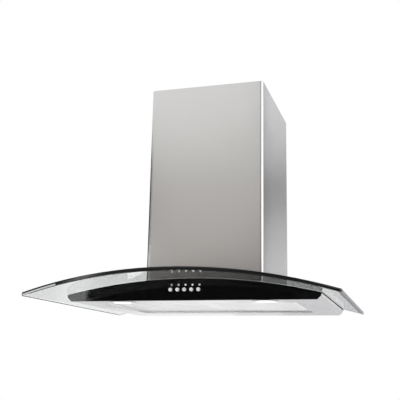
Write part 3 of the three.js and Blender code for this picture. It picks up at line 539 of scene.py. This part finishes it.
def rim_path(half, low, high, radii, per_side, per_corner):
    """Points and outward directions round a rectangle with a radius at each corner.

    The corners come in the order right front, right rear, left rear, left front, each a quarter
    circle about its centre, with straight sides of evenly spaced points between them.
    """
    centres = np.array([
        (half - radii[0], low + radii[0]),
        (half - radii[1], high - radii[1]),
        (-half + radii[2], high - radii[2]),
        (-half + radii[3], low + radii[3]),
    ])
    turn = np.linspace(0, np.pi / 2, per_corner)
    angle = -np.pi / 2 + np.arange(4)[:, None] * np.pi / 2 + turn[None, :]
    normal = np.stack([np.cos(angle), np.sin(angle)], -1)
    arc = centres[:, None, :] + np.asarray(radii)[:, None, None] * normal
    t = np.linspace(0, 1, per_side + 2)[1:-1][None, :, None]
    start, end = arc[:, -1], np.roll(arc[:, 0], -1, 0)
    side = start[:, None] * (1 - t) + end[:, None] * t
    facing = np.broadcast_to(normal[:, -1][:, None], side.shape)
    points = np.concatenate([arc, side], 1).reshape(-1, 2)
    return points, np.concatenate([normal, facing], 1).reshape(-1, 2)


def glass_canopy(settings):
    """The bent sheet as a closed ring of four-sided cells between the cut-out and the outer edge.

    A row runs over the top from the cut-out to the rim, round the polished edge, back under the
    sheet and up the cut-out's edge. In plan a point lies between the two outlines, and the outer
    one is stretched forward by 1 + bow (1 - (x / half)^2) / depth. Its height is the arch's. The
    third result is each face's finish: 0 clear, 1 the front edge in painted shade and 2 the part of
    it near the left end in painted light.
    """
    half = settings.width / 2
    depth = -GLASS_LOW.y - settings.bow
    per_side, per_corner = 24, 8
    rear_radius, hole_radius = 3 * MM, 8 * MM
    radii = (settings.corner, rear_radius, rear_radius, settings.corner)
    outer, out_facing = rim_path(half, -depth, 0.0, radii, per_side, per_corner)
    outer[:, 1] *= 1 + settings.bow * (1 - (outer[:, 0] / half) ** 2) / depth
    inner, in_facing = rim_path(
        BOX_HIGH.x + settings.margin,
        BOX_LOW.y - settings.margin,
        BOX_HIGH.y + settings.margin,
        (hole_radius,) * 4,
        per_side,
        per_corner,
    )
    thick, round_off = settings.thickness, settings.polish
    over, across = 6, 24  # points over one polished edge, and between the cut-out and the rim
    turn = np.linspace(0, np.pi / 2, over)
    inset = round_off * (1 - np.sin(turn))  # from the rim, going over the edge
    sunk = round_off * (1 - np.cos(turn))  # below the top, going over the edge
    share = np.linspace(0, 1, across + 2)[1:-1]
    inward = np.concatenate([inset, [0], inset[::-1]])
    # One row: the share of the way out, the inset from each outline and the depth in the sheet.
    at_hole, at_rim = np.zeros(over), np.ones(2 * over + 1)
    out = np.concatenate([at_hole, share, at_rim, share[::-1], at_hole])
    edge = np.concatenate([inset[::-1], 0 * share, inward, 0 * share, inset])
    depths = np.concatenate([
        sunk[::-1], 0 * share, sunk, [thick / 2], thick - sunk[::-1], 0 * share + thick,
        thick - sunk,
    ])
    start = inner[:, None] + in_facing[:, None] * edge[None, :, None]
    end = outer[:, None] - out_facing[:, None] * edge[None, :, None]
    plan = start * (1 - out[None, :, None]) + end * out[None, :, None]
    height = arch(plan[..., 0], depths[None, :])
    points = np.concatenate([plan, height[..., None]], -1)
    faces = cells(len(outer), len(out), True, True)
    # The outline starts in the right front corner, so the front edge takes its last rows, from the
    # left front corner on, and its first few. The rim's columns are those over the polished edge.
    row, column = faces[:, 0] // len(out), faces[:, 0] % len(out)
    left_corner, right_corner = 3 * (per_side + per_corner), per_corner - 2
    first = over + across
    front = (row > left_corner) | (row < right_corner)
    rim = (column >= first) & (column < first + 2 * over)
    lower = column >= first + over
    x = outer[row, 0]
    near_end = (x > 3 * MM - half) & (x < -0.4 * settings.width)
    # Painted light: the lower rim near the left end gets a pale tone, and the rest of the front rim
    # painted shade.
    lit = front & rim & lower & near_end
    return points, faces, np.where(lit, 2, front & rim)


def cover_paths(half, front, back, flange, fold, per_front=60, per_fold=10, per_side=3):
    """The outer and inner path of a folded cover in plan, from the left flange to the right one.

    Both follow the same flange, side, fold, front, fold, side and flange. The fold is a quarter
    circle, with the sheet's thickness taken off its radius on the inside.
    """
    turn = np.linspace(0, np.pi / 2, per_fold)
    left = np.pi + turn
    side = np.linspace(0, 1, per_side + 1)[:, None]

    def path(inset):
        across, deep = half - inset, back - inset
        rear = np.array([(-half + flange, deep), (-across, deep)])
        down = np.array([(-across, deep)]) * (1 - side) + np.array([(-across, front + fold)]) * side
        bend = np.stack([
            -half + fold + (fold - inset) * np.cos(left),
            front + fold + (fold - inset) * np.sin(left),
        ], -1)
        x = np.linspace(-half + fold, 0, per_front // 2)[1:, None]
        face = np.concatenate([x, np.full_like(x, front + inset)], -1)
        first = np.concatenate([rear, down[1:-1], bend, face])
        return np.concatenate([first, first[-2::-1] * (-1, 1)])

    return path(0.0), path(SHEET)


def chimney_cover(settings):
    """The lower cover: its folded path carried up from a seat above the arch to its top."""
    outer, inner = cover_paths(
        COVER_HIGH.x, COVER_LOW.y, COVER_HIGH.y, settings.flange, settings.fold
    )
    return strip(outer, inner, lambda x: arch(x, -SEAT), COVER_HIGH.z, levels=9)


class HOOD_OT_finishes(bpy.types.Operator):
    """Make the hood's finishes"""

    bl_idname = "hood.finishes"
    bl_label = "Finishes"

    def execute(self, context):
        FINISHES.update(make_finishes(context.scene))
        return {"FINISHED"}


class HOOD_OT_glass(bpy.types.Operator):
    """Bend the glass canopy from its outline and arch"""

    bl_idname = "hood.glass"
    bl_label = "Glass Canopy"

    def execute(self, context):
        points, faces, finish = glass_canopy(context.scene.hood_glass)
        made = piece("glass_sheet", points, faces, FINISHES["glass"], smooth=40)
        # The front edge's painted shade and its left end's painted light, as the second and third
        # materials.
        for edge in ("painted_glass_edge", "glass_edge_lit"):
            made.data.materials.append(FINISHES[edge])
        made.data.polygons.foreach_set("material_index", finish.astype(np.int32))
        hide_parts("glass_canopy")
        return {"FINISHED"}


class HOOD_OT_cover(bpy.types.Operator):
    """Fold the lower chimney cover from one sheet"""

    bl_idname = "hood.cover"
    bl_label = "Chimney Cover"

    def execute(self, context):
        points, faces = chimney_cover(context.scene.hood_steel)
        made = piece(
            "chimney_cover", points, faces, FINISHES["cover_steel"], smooth=32
        )
        round_edges(made, 0.2 * MM, angle=30.0, harden=False)
        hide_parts("chimney_lower")
        return {"FINISHED"}


BEVELS = {
    "body_shell": 0.3, "body_top": 0.2, "control_panel": 0.45, "switch_block": 0.4,
    "indicator_bar": 0.12, "chimney_upper": 0.2, "chimney_bracket": 0.3, "blower_box": 0.3,
    "scroll_housing": 0.6, "impeller": 0.15, "motor_shaft": 0.3, "motor": 0.8,
    "motor_bracket": 0.4, "outlet_collar": 0.3, "terminal_box": 1.2, "cable_gland": 0.5,
    "chimney_clip": 0.2, "filter_frame": 0.35, "filter_pad": 0.1, "filter_latch": 0.35,
    "lamp_can": 0.3, "flap_pin": 0.3, "flap_front": 0.3, "flap_rear": 0.3,
    "glass_washer": 0.3, "glass_nut": 0.3, "wall_hook": 0.3,
}  # width in millimetres, by how the nodes' names start


class HOOD_OT_dress(bpy.types.Operator):
    """Round off the edges of the frame's own pieces and give them their finishes"""

    bl_idname = "hood.dress"
    bl_label = "Dressed Pieces"

    def execute(self, context):
        for node in sorted(frame["nodes"]):
            kinds = [kind for kind in BEVELS if node.startswith(kind)]
            if kinds:
                dress(node, BEVELS[max(kinds, key=len)] * MM)
        return {"FINISHED"}


# ------------------------------------------------------------------ controls and lamps
def push_button(settings, node):
    """A button turned round its own axis: a cap with a rolled rim, a barrel and a stem.

    The cap stands ahead of the panel, the barrel fills the panel's hole and the stem goes on behind
    it. The face is a bowl that gets shallower with r^2, with grooves where a sine of r is above 0.
    """
    low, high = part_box(node)
    radius = settings.button_radius
    barrel = (high.x - low.x) / 2
    stem = 0.57 * barrel
    rim, cap = 0.9 * MM, 2.3 * MM  # radius of the rolled rim and length of the cap
    dish, groove = 0.12 * MM, 0.06 * MM
    front = low.y + 0.04 * MM
    r = np.linspace(0, radius - rim, 40)
    rings = groove * np.maximum(0, np.sin(2 * np.pi * settings.grooves * r / radius)) ** 3
    face = front + dish * (1 - (r / radius) ** 2) + rings
    turn = np.linspace(0, np.pi / 2, 8)[1:]
    rim_r = radius - rim + rim * np.sin(turn)
    rim_y = front + 0.8 * rim * (1 - np.cos(turn))
    panel_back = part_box("control_panel")[1].y - SEAT
    rear = [
        (radius, low.y + cap), (barrel, low.y + cap), (barrel, panel_back), (stem, panel_back),
        (stem, high.y), (0, high.y),
    ]
    profile = np.concatenate([np.stack([r, face], -1), np.stack([rim_r, rim_y], -1), rear])
    centre = ((low.x + high.x) / 2, 0, (low.z + high.z) / 2)
    return turned(profile, "Y", centre, 48, closed=False)


def indicator_dome(settings, x, z, face):
    """A lens cap that stands out of its hole: half a ball, flattened along its axis, on a stem."""
    proud, sunk = 0.8 * MM, 1.2 * MM  # ahead of the panel's face and behind it
    t = np.linspace(0, np.pi / 2, 10)
    cap = np.stack([settings.lens_radius * np.sin(t), face - proud * np.cos(t)], -1)
    rear = [(settings.lens_radius, face + sunk), (0, face + sunk)]
    return turned(np.concatenate([cap, rear]), "Y", (x, 0, z), 32, closed=False)


def lamp_bezel(node):
    """The lamp's ring: a flat-faced lip with rolled edges over a plain barrel."""
    low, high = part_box(node)
    radius = (high.x - low.x) / 2
    face, seat, top = low.z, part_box("body_shell")[0].z - SEAT, high.z
    slope, barrel = radius - 1.4 * MM, radius - 3.5 * MM
    bore, window = radius - 5.5 * MM, radius - 9 * MM
    outline = [
        (window, face), (slope, face), (radius, (face + seat) / 2), (radius, seat),
        (barrel, seat), (barrel, top), (bore, top), (bore, seat), (window, seat),
    ]
    profile = rounded(outline, 0.5 * MM)
    return turned(profile, "Z", ((low.x + high.x) / 2, (low.y + high.y) / 2, 0), 72)


def lamp_lens(node):
    """The lamp's frosted glass: a dish that gets shallower with r^2, pressed with rings.

    The rings are a sine of r, and die out towards the dish's edge with r^6.
    """
    low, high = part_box(node)
    radius = (high.x - low.x) / 2
    window = radius - 1.2 * MM
    dish, ring, pitch = 0.7 * MM, 0.12 * MM, 2.4 * MM
    r = np.linspace(0, window, 60)
    bowl = low.z + dish * (1 - (r / window) ** 2)
    pressed = ring * (1 + np.sin(2 * np.pi * r / pitch)) * (1 - (r / window) ** 6)
    face = np.stack([r, bowl + pressed], -1)
    rear = [(radius, low.z), (radius, high.z), (0, high.z)]
    centre = ((low.x + high.x) / 2, (low.y + high.y) / 2, 0)
    return turned(np.concatenate([face, rear]), "Z", centre, 64, closed=False)


class HOOD_OT_buttons(bpy.types.Operator):
    """Turn the five push buttons and their indicator lenses"""

    bl_idname = "hood.buttons"
    bl_label = "Buttons and Indicators"

    def execute(self, context):
        settings = context.scene.hood_control
        metal = FINISHES["button_metal"]
        panel_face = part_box("control_panel")[0].y
        z = sum(corner.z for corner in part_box("indicator_bar")) / 2
        for node, light in INDICATOR_LIGHT.items():
            points, faces = push_button(settings, node)
            cap = piece(node + "_turned", points, faces, metal, body_with(node))
            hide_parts(node)
            x = sum(corner.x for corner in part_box(node)) / 2 + settings.lens_shift
            points, faces = indicator_dome(settings, x, z, panel_face)
            lens = node.replace("button", "indicator") + "_lens"
            glass = indicator_glass(lens, light)
            piece(lens, points, faces, glass, smooth=50)
        return {"FINISHED"}


class HOOD_OT_lamps(bpy.types.Operator):
    """Turn the lamps' bezels and press their glasses"""

    bl_idname = "hood.lamps"
    bl_label = "Lamps"

    def execute(self, context):
        for side in SIDES:
            bezel, lens = "lamp_bezel_" + side, "lamp_lens_" + side
            points, faces = lamp_bezel(bezel)
            made = piece(bezel + "_turned", points, faces, FINISHES["lamp_trim"])
            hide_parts(bezel)
            points, faces = lamp_lens(lens)
            glass = finish_of(lens)
            made = piece(lens + "_pressed", points, faces, glass, smooth=60)
            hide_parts(lens)
        return {"FINISHED"}


# ------------------------------------------------------------------ filter mesh
def expanded_metal(settings, low, high):
    """Slit and stretched sheet: strands that run from side to side and meet in diamonds.

    Strand n zigzags in plan as a triangle wave of x, turned over for every other strand, so that
    it touches the one before and the one after in turn. Its height leans with the same wave.
    """
    width, thick, tilt = settings.strand, 0.3 * MM, 0.1 * MM
    rows = int((high[1] - low[1]) / settings.short_way)
    columns = int((high[0] - low[0]) / (settings.long_way / 2))
    pitch = (high[1] - low[1]) / rows
    x = np.linspace(low[0], high[0], columns + 1)
    wave = np.where(np.arange(columns + 1) % 2, 1.0, -1.0)
    row = np.arange(rows)
    sign = np.where(row % 2, -1.0, 1.0)[:, None]
    middle = low[1] + pitch * (row[:, None] + 0.5) + sign * wave * (pitch - width) / 2
    lean = low[2] + tilt * sign * wave
    section = np.array([(-1, -1), (1, -1), (1, 1), (-1, 1)]) / 2
    y = middle[..., None] + section[:, 0] * width
    z = lean[..., None] + section[:, 1] * thick
    points = np.stack([np.broadcast_to(x[None, :, None], y.shape), y, z], -1)
    tube = cells(columns + 1, 4, False, True)
    ends = np.array([[0, 1, 2, 3], [3, 2, 1, 0]]) + np.array([[0], [4 * columns]])
    one = np.concatenate([tube, ends])
    faces = one[None] + (np.arange(rows) * 4 * (columns + 1))[:, None, None]
    return points, faces.reshape(-1, 4)


class HOOD_OT_filters(bpy.types.Operator):
    """Fit the expanded metal into the faces of the filter cassettes"""

    bl_idname = "hood.filters"
    bl_label = "Filter Mesh"

    def execute(self, context):
        settings, slot = context.scene.hood_filter, "filter_aluminium"
        rim, front_rim, rear_rim = 13 * MM, 30 * MM, 20 * MM  # what the frame keeps round the mesh
        for side in SIDES:
            low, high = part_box("filter_frame_" + side)
            level, body = low.z + 0.5 * MM, "cassette_" + side
            start = (low.x + rim, low.y + front_rim, level)
            end = (high.x - rim, high.y - rear_rim, level)
            points, faces = expanded_metal(settings, start, end)
            piece("filter_mesh_" + side, points, faces, FINISHES[slot], body, smooth=30)
        return {"FINISHED"}


# ------------------------------------------------------------------ fasteners
def screw_head(radius, place, out):
    """A pan head with a cross recess, on a grid of radius and angle, facing along a direction.

    The dome falls with the square of the radius. The recess is as deep as the product of how near
    the point is to the middle and to the nearer arm of the cross. Sizes are shares of the radius.
    """
    height, fall, recess = 0.62, 0.45, 0.5
    arm_width, arm_reach = 0.13, 0.5
    r = np.concatenate([np.linspace(0, 0.94, 14), [1.0, 1.0]])[:, None]
    angle = np.linspace(0, 2 * np.pi, 40, endpoint=False)[None, :]
    x, y = r * np.cos(angle), r * np.sin(angle)
    arm = np.clip(1.5 - np.minimum(np.abs(x), np.abs(y)) / arm_width, 0, 1)
    middle = np.clip(1.25 - r / arm_reach, 0, 1)
    rise = height * (1 - fall * r**2) - recess * arm * middle
    rise[-1] = 0
    aim = Vector(out).to_track_quat("Z", "Y").to_matrix()
    local = np.stack([x, y, rise], -1) * radius
    points = local @ np.array(aim).T + np.asarray(place, float)
    return points, cells(len(r), angle.size, False, True)


def fastener_places():
    """Name, radius in millimetres, place and direction of each visible screw head of the hood."""
    hook_low, hook_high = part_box("wall_hook_left")
    bracket_low, bracket_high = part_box("chimney_bracket")
    clip_low, clip_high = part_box("chimney_clip_left")
    terminal_low, terminal_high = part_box("terminal_box")
    plate = -2 * MM  # front face of the plates on the wall
    flange = 1.5 * MM  # thickness of the collar's flange
    hook_x, hook_z = abs(hook_low.x + hook_high.x) / 2, hook_low.z + 6 * MM
    bracket_x, bracket_z = bracket_high.x / 2, (bracket_low.z + bracket_high.z) / 2
    clip_z = (clip_low.z + clip_high.z) / 2 + 1.5 * MM
    collar_y, collar_z = (COLLAR_LOW.y + COLLAR_HIGH.y) / 2, BOX_HIGH.z + SEAT + flange
    diagonal = (COLLAR_HIGH.x - 3.2 * MM) * math.sqrt(0.5)
    terminal_x, terminal_y = 24 * MM, (terminal_low.y + terminal_high.y) / 2
    ahead, up = (0, -1, 0), (0, 0, 1)
    places = []
    for side, sign in zip(SIDES, (-1, 1)):
        places.append(("wall_hook_screw_" + side, 2.4, (sign * hook_x, plate, hook_z), ahead))
        places.append(("bracket_screw_" + side, 3.6, (sign * bracket_x, plate, bracket_z), ahead))
        for end, y in (("front", -150 * MM), ("rear", -130 * MM)):
            at = (sign * COVER_HIGH.x, y, clip_z)
            places.append((f"cover_screw_{side}_{end}", 2.6, at, (sign, 0, 0)))
        for end, way in (("front", -1), ("rear", 1)):
            at = (sign * diagonal, collar_y + way * diagonal, collar_z)
            places.append((f"collar_screw_{side}_{end}", 2.2, at, up))
        at = (sign * terminal_x, terminal_y, terminal_high.z)
        places.append(("terminal_screw_" + side, 2.4, at, up))
    return places


def side_seal(sign):
    """A soft strip in the corner between the body's side and the glass, from the panel to the wall.

    Its section is a rounded square of (across, below the glass), carried along Y and drawn together
    to its middle at both ends. A point's height is the arch's under the glass, less its own depth.
    """
    gap, stations = 0.1 * MM, 40
    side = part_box("body_shell")[1].x
    square = [(0, 0), (SEAL, 0), (SEAL, SEAL), (0, SEAL)]
    section = rounded(square, SEAL / 4) + (side + gap, gap)
    ends = np.broadcast_to(section.mean(0), section.shape)
    rows = np.stack([ends, *[section] * stations, ends])
    y = np.linspace(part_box("control_panel")[0].y + MM, -MM, stations)
    y = np.broadcast_to(np.concatenate([y[:1], y, y[-1:]])[:, None], rows.shape[:2])
    height = arch(rows[..., 0], bpy.context.scene.hood_glass.thickness) - rows[..., 1]
    points = np.stack([sign * rows[..., 0], y, height], -1)
    return points, cells(len(rows), len(section), False, True)


class HOOD_OT_seals(bpy.types.Operator):
    """Lay the soft strips between the body's sides and the glass"""

    bl_idname = "hood.seals"
    bl_label = "Seals"

    def execute(self, context):
        for side, sign in zip(SIDES, (-1, 1)):
            points, faces = side_seal(sign)
            piece("side_seal_" + side, points, faces, FINISHES["rubber"])
        return {"FINISHED"}


class HOOD_OT_fasteners(bpy.types.Operator):
    """Set the screw heads and finish the glass bolts"""

    bl_idname = "hood.fasteners"
    bl_label = "Fasteners"

    def execute(self, context):
        for name, radius, place, out in fastener_places():
            points, faces = screw_head(radius * MM, place, out)
            piece(name, points, faces, FINISHES["chrome"], smooth=40)
        for node in sorted(n for n in frame["nodes"] if n.startswith("glass_bolt_")):
            dress(node, 0.5 * MM, 3)
        return {"FINISHED"}


# ------------------------------------------------------------------ studio
def studio_sheet(name, corners, material):
    """A flat sheet of the studio."""
    mesh = bpy.data.meshes.new(name)
    mesh.from_pydata(corners, [], [tuple(range(len(corners)))])
    mesh.materials.append(material)
    made = bpy.data.objects.new(name, mesh)
    bpy.context.scene.collection.objects.link(made)
    return made


def graded(name, stops, tint_low, tint_high, axis="Z"):
    """A glowing sheet's material whose light changes along an axis, from stop to stop.

    A stop is a place on the axis and the light there. The tint changes evenly over the whole way.
    """
    made = Finish(name)
    start = made.add("ShaderNodeTexCoord").outputs["Object"]
    place = made.add("ShaderNodeSeparateXYZ", Vector=start).outputs[axis]
    first, last = stops[0][0], stops[-1][0]
    ramp = made.add("ShaderNodeValToRGB", Fac=made.spread(place, 0, 1, first, last))
    while len(ramp.color_ramp.elements) < len(stops):
        ramp.color_ramp.elements.new(0.5)
    for element, (at, light) in zip(ramp.color_ramp.elements, stops):
        share = (at - first) / (last - first)
        tint = (low + (high - low) * share for low, high in zip(tint_low, tint_high))
        element.position = share
        element.color = (*(light * channel for channel in tint), 1)
    return made.glow(ramp.outputs["Color"], 1.0)


def pale_floor(value, half):
    """A matt floor that keeps the shadow and is white where metal shows it and at its edges.

    The fade to white follows the distance from the middle. A ray through clear pieces counts as
    glossy too, so its share is taken off again.
    """
    made = Finish("Pale floor", Base_Color=value, Roughness=0.6)
    reach = made.add("ShaderNodeVectorMath", {"operation": "LENGTH"})
    made.join(made.place((1, 1, 0)), reach.inputs[0])
    plain_to, white_from = 0.55 * half, 0.95 * half
    fade = made.spread(reach.outputs["Value"], 0, 1, plain_to, white_from)
    ray = made.add("ShaderNodeLightPath").outputs
    mirrored = made.reckon("SUBTRACT", ray["Is Glossy Ray"], ray["Is Transmission Ray"])
    plain = made.add("ShaderNodeEmission", Color=(1, 1, 1), Strength=1.0)
    return made.show_instead(made.reckon("MAXIMUM", mirrored, fade), plain.outputs["Emission"])


def card(name, corners, material, glossy=True, clear=False):
    """A sheet that is seen in reflections, through clear pieces, or both."""
    made = studio_sheet("card_" + name, corners, material)
    made.visible_camera = False
    made.visible_shadow = False
    made.visible_diffuse = False
    made.visible_glossy = glossy
    made.visible_transmission = clear


def facing_y(low_x, high_x, y, low_z, high_z):
    """Corners of an upright sheet across the room."""
    return [(low_x, y, low_z), (high_x, y, low_z), (high_x, y, high_z), (low_x, y, high_z)]


def facing_x(x, low_y, high_y, low_z, high_z):
    """Corners of an upright sheet along the room."""
    return [(x, low_y, low_z), (x, high_y, low_z), (x, high_y, high_z), (x, low_y, high_z)]


def lying(low_x, high_x, low_y, high_y, z):
    """Corners of a level sheet."""
    return [(low_x, low_y, z), (high_x, low_y, z), (high_x, high_y, z), (low_x, high_y, z)]


WHITE, VIOLET, WARM = (1, 1, 1), (0.97, 0.97, 1), (1, 0.91, 0.84)
GLOWS = {
    "deep": (WHITE, 0.012), "dark": (WHITE, 0.06), "dim": (WHITE, 0.25), "low": (VIOLET, 0.45),
    "pale": (VIOLET, 0.66), "low pale": (VIOLET, 0.74), "back light": (WHITE, 1.12),
    "bright": (WHITE, 1.7), "glint": (WHITE, 2.1), "soft box": (WHITE, 3.5),
}  # colour and strength of each plain card
BOX_EDGE, BOX_Y = -0.63, -1.25  # x where the soft box's upper part ends and the veil starts, and y


def cards_ahead(glow):
    """Cards in front: the graded one that the cover's front shows, and what lies beside it."""
    y, foot, top = -2.5, -0.6, 1.8
    stops = (
        (-0.6, 0.012), (0.29, 0.012), (0.33, 0.56), (0.42, 0.61), (0.8, 0.69), (1.15, 0.93),
        (1.4, 1.02),
    )
    front = graded("Card ahead", stops, WARM, WHITE)
    return (
        ("ahead", facing_y(-1.15, -0.15, y, foot, top), front),
        ("ahead_left", facing_y(-2.0, -1.15, y, foot, 1.1), glow["dark"]),
        ("ahead_dark", facing_y(-0.15, 0.45, y, foot, top), glow["dark"]),
        ("ahead_right", facing_y(0.45, 2.6, y, 0.35, top), glow["bright"]),
        ("low_right", facing_y(0.45, 2.6, y, foot, 0.35), glow["deep"]),
    )


def cards_below(glow):
    """Cards on the floor, which the underside, the lamps and the glass edge show."""
    far, near, rear = -1.3, -0.75, 1.2
    return (
        ("front_floor", lying(-2.0, 2.6, -2.5, far, -0.29), glow["deep"]),
        ("mid_floor", lying(-1.5, 1.5, far, near, -0.292), glow["bright"]),
        ("near_floor_left", lying(-1.5, -0.45, near, rear, -0.295), glow["dim"]),
        ("near_floor", lying(-0.45, 1.5, near, rear, -0.295), glow["low"]),
    )


def cards_behind(glow):
    """Cards behind and at the sides: the graded one that the cover's right side shows, and more."""
    y, foot, top = 2.0, -0.2, 1.8
    stops = (
        (0.2, 0.68), (0.4, 0.74), (0.6, 0.56), (0.72, 0.42), (0.84, 0.40), (1.0, 0.64), (1.3, 0.9),
    )
    side = graded("Card behind", stops, VIOLET, VIOLET)
    return (
        ("behind", facing_y(0.3, 0.95, y, 0.2, top), side),
        ("behind_low", facing_y(0.3, 0.95, y, -0.35, 0.2), glow["pale"]),
        ("rear_right", facing_y(0.95, 2.0, y, foot, top), glow["dark"]),
        ("right", facing_x(2.0, -2.5, 1.3, foot, top), glow["bright"]),
        ("left", facing_x(-2.0, -2.5, 1.6, foot, 1.0), glow["dark"]),
        ("low", facing_y(-0.5, 0.3, y, -0.17, 0.08), glow["low"]),
        ("low_pale", facing_y(-0.25, 0.3, y, -0.35, -0.17), glow["low pale"]),
    )


def cards_through(glow):
    """Cards that only the clear glass shows: a veil over its middle and the light behind it."""
    y, foot, top = 2.6, -0.3, 2.5
    stops = ((-2.2, 1.04), (-1.9, 1.14), (-1.72, 1.46), (-1.2, 1.52))
    left = graded("Back light, left", stops, WHITE, WHITE, "X")
    ahead, left_x, right_x = y - 0.01, -1.359, -1.25
    glint = [
        (left_x, ahead, 0.425), (right_x, ahead, 0.462), (right_x, ahead, 0.485),
        (left_x, ahead, 0.478),
    ]
    return (
        ("veil", facing_y(BOX_EDGE, 0.35, BOX_Y, -0.05, 0.3), glow["deep"]),
        ("backlight_left", facing_y(-3, -0.9, y, foot, top), left),
        ("backlight", facing_y(-0.9, 3, y, foot, top), glow["back light"]),
        ("glint", glint, glow["glint"]),
    )


def soft_box():
    """Corners of the soft box at the left, which is wider at its foot."""
    left, foot_edge, foot, top = -0.74, -0.558, -0.289, 0.3
    outline = (
        (left, foot), (foot_edge, foot), (foot_edge, -0.1), (BOX_EDGE, 0.03), (BOX_EDGE, top),
        (left, top),
    )
    return [(x, BOX_Y, z) for x, z in outline]


def reflector_cards():
    """The cards round the hood that its glass, gloss and brushed steel show."""
    glow = {name: Finish("Card, " + name).glow(*light) for name, light in GLOWS.items()}
    for place in (cards_ahead, cards_below, cards_behind):
        for name, corners, material in place(glow):
            card(name, corners, material)
    card("soft_box", soft_box(), glow["soft box"], clear=True)
    for name, corners, material in cards_through(glow):
        card(name, corners, material, glossy=False, clear=True)


def studio_world(ambient):
    """White where the camera, a reflection or a clear piece sees it, and else an even light."""
    world = bpy.data.worlds.new("Studio")
    world.use_nodes = True
    bpy.context.scene.world = world
    tree = world.node_tree
    tree.nodes.clear()
    path = tree.nodes.new("ShaderNodeLightPath")
    seen = path.outputs["Is Camera Ray"]
    for other in ("Is Glossy Ray", "Is Transmission Ray"):
        either = tree.nodes.new("ShaderNodeMath")
        either.operation = "MAXIMUM"
        tree.links.new(seen, either.inputs[0])
        tree.links.new(path.outputs[other], either.inputs[1])
        seen = either.outputs[0]
    mixed = tree.nodes.new("ShaderNodeMixShader")
    tree.links.new(seen, mixed.inputs[0])
    for place, strength in ((1, ambient), (2, 1.0)):
        light = tree.nodes.new("ShaderNodeBackground")
        light.inputs["Color"].default_value = (1, 1, 1, 1)
        light.inputs["Strength"].default_value = strength
        tree.links.new(light.outputs[0], mixed.inputs[place])
    output = tree.nodes.new("ShaderNodeOutputWorld")
    tree.links.new(mixed.outputs[0], output.inputs["Surface"])


def soft_lamp(name, place, aim, size, power):
    """A large soft area lamp that points at a place."""
    data = bpy.data.lights.new(name, "AREA")
    data.shape = "RECTANGLE"
    data.size, data.size_y = size
    data.energy = power
    made = bpy.data.objects.new(name, data)
    made.location = place
    made.rotation_mode = "QUATERNION"
    made.rotation_quaternion = (Vector(aim) - Vector(place)).to_track_quat("-Z", "Y")
    bpy.context.scene.collection.objects.link(made)
    made.visible_camera = False
    made.visible_glossy = False
    made.visible_transmission = False


CAMERA = {
    "place": (0.4224, -1.6978, -0.15087),
    "yaw": 0.2961,
    "pitch": 0.2319,
    "roll": 0.0202,
    "lens": 65.03,
    "sensor": 36.0,
}  # place in metres, turns in radians, lens and sensor in millimetres


def studio_camera():
    """The camera at the photograph's place, turned by its yaw, pitch and roll."""
    yaw, pitch, roll = (CAMERA[key] for key in ("yaw", "pitch", "roll"))
    level = Vector((math.cos(yaw), math.sin(yaw), 0))
    forward = Vector((-math.sin(yaw), math.cos(yaw), 0))
    ahead = forward * math.cos(pitch) + Vector((0, 0, math.sin(pitch)))
    upright = level.cross(ahead)
    right = math.cos(roll) * level + math.sin(roll) * upright
    up = math.cos(roll) * upright - math.sin(roll) * level
    data = bpy.data.cameras.new("Camera")
    data.lens = CAMERA["lens"]
    data.sensor_width = CAMERA["sensor"]
    data.clip_start, data.clip_end = 0.05, 50.0
    made = bpy.data.objects.new("Camera", data)
    turn = Matrix((right, up, -ahead)).transposed().to_4x4()
    made.matrix_world = Matrix.Translation(CAMERA["place"]) @ turn
    bpy.context.scene.collection.objects.link(made)
    bpy.context.scene.camera = made


class HOOD_OT_studio(bpy.types.Operator):
    """Set up the floor, the lights and the camera"""

    bl_idname = "hood.studio"
    bl_label = "Studio"

    def execute(self, context):
        settings = context.scene.hood_studio
        context.scene.view_settings.view_transform = "Standard"
        studio_world(settings.ambient)
        z, half = settings.floor_level, settings.floor_size / 2
        floor = pale_floor(tuple(settings.floor), half)
        studio_sheet("floor", lying(-half, half, -half, half, z), floor)
        reflector_cards()
        middle = (0, -0.2, 0.2)
        soft_lamp("Key", (-1.4, -2.2, 2.2), middle, (1.6, 1.6), 30)
        soft_lamp("Fill", (2.2, -1.2, 1.0), middle, (1.4, 1.4), 10)
        soft_lamp("Under", (0, -0.2, z + 5 * MM), middle, (0.9, 0.8), 2.2)
        studio_camera()
        return {"FINISHED"}


# ------------------------------------------------------------------ panel and run
STEPS = (
    "finishes", "glass", "cover", "dress", "buttons", "lamps", "filters", "seals", "fasteners",
    "studio",
)


class HOOD_PT_build(bpy.types.Panel):
    """Settings and steps of the range hood"""

    bl_idname = "HOOD_PT_build"
    bl_label = "Range Hood"
    bl_space_type = "VIEW_3D"
    bl_region_type = "UI"
    bl_category = "Hood"

    def draw(self, context):
        for name in SETTINGS:
            group = getattr(context.scene, name)
            box = self.layout.box()
            for setting in group.bl_rna.properties:
                if not setting.is_readonly and setting.identifier != "name":
                    box.prop(group, setting.identifier)
        for step in STEPS:
            self.layout.operator("hood." + step)


CLASSES = (
    *SETTINGS.values(),
    HOOD_OT_finishes, HOOD_OT_glass, HOOD_OT_cover, HOOD_OT_dress, HOOD_OT_buttons,
    HOOD_OT_lamps, HOOD_OT_filters, HOOD_OT_seals, HOOD_OT_fasteners, HOOD_OT_studio, HOOD_PT_build,
)


def register():
    for each in CLASSES:
        bpy.utils.register_class(each)
    for name, group in SETTINGS.items():
        setattr(bpy.types.Scene, name, PointerProperty(type=group))


def unregister():
    for name in SETTINGS:
        delattr(bpy.types.Scene, name)
    for each in reversed(CLASSES):
        bpy.utils.unregister_class(each)


def main():
    """Builds the hood and the studio."""
    register()
    for step in STEPS:
        getattr(bpy.ops.hood, step)()


if __name__ == "__main__":
    main()
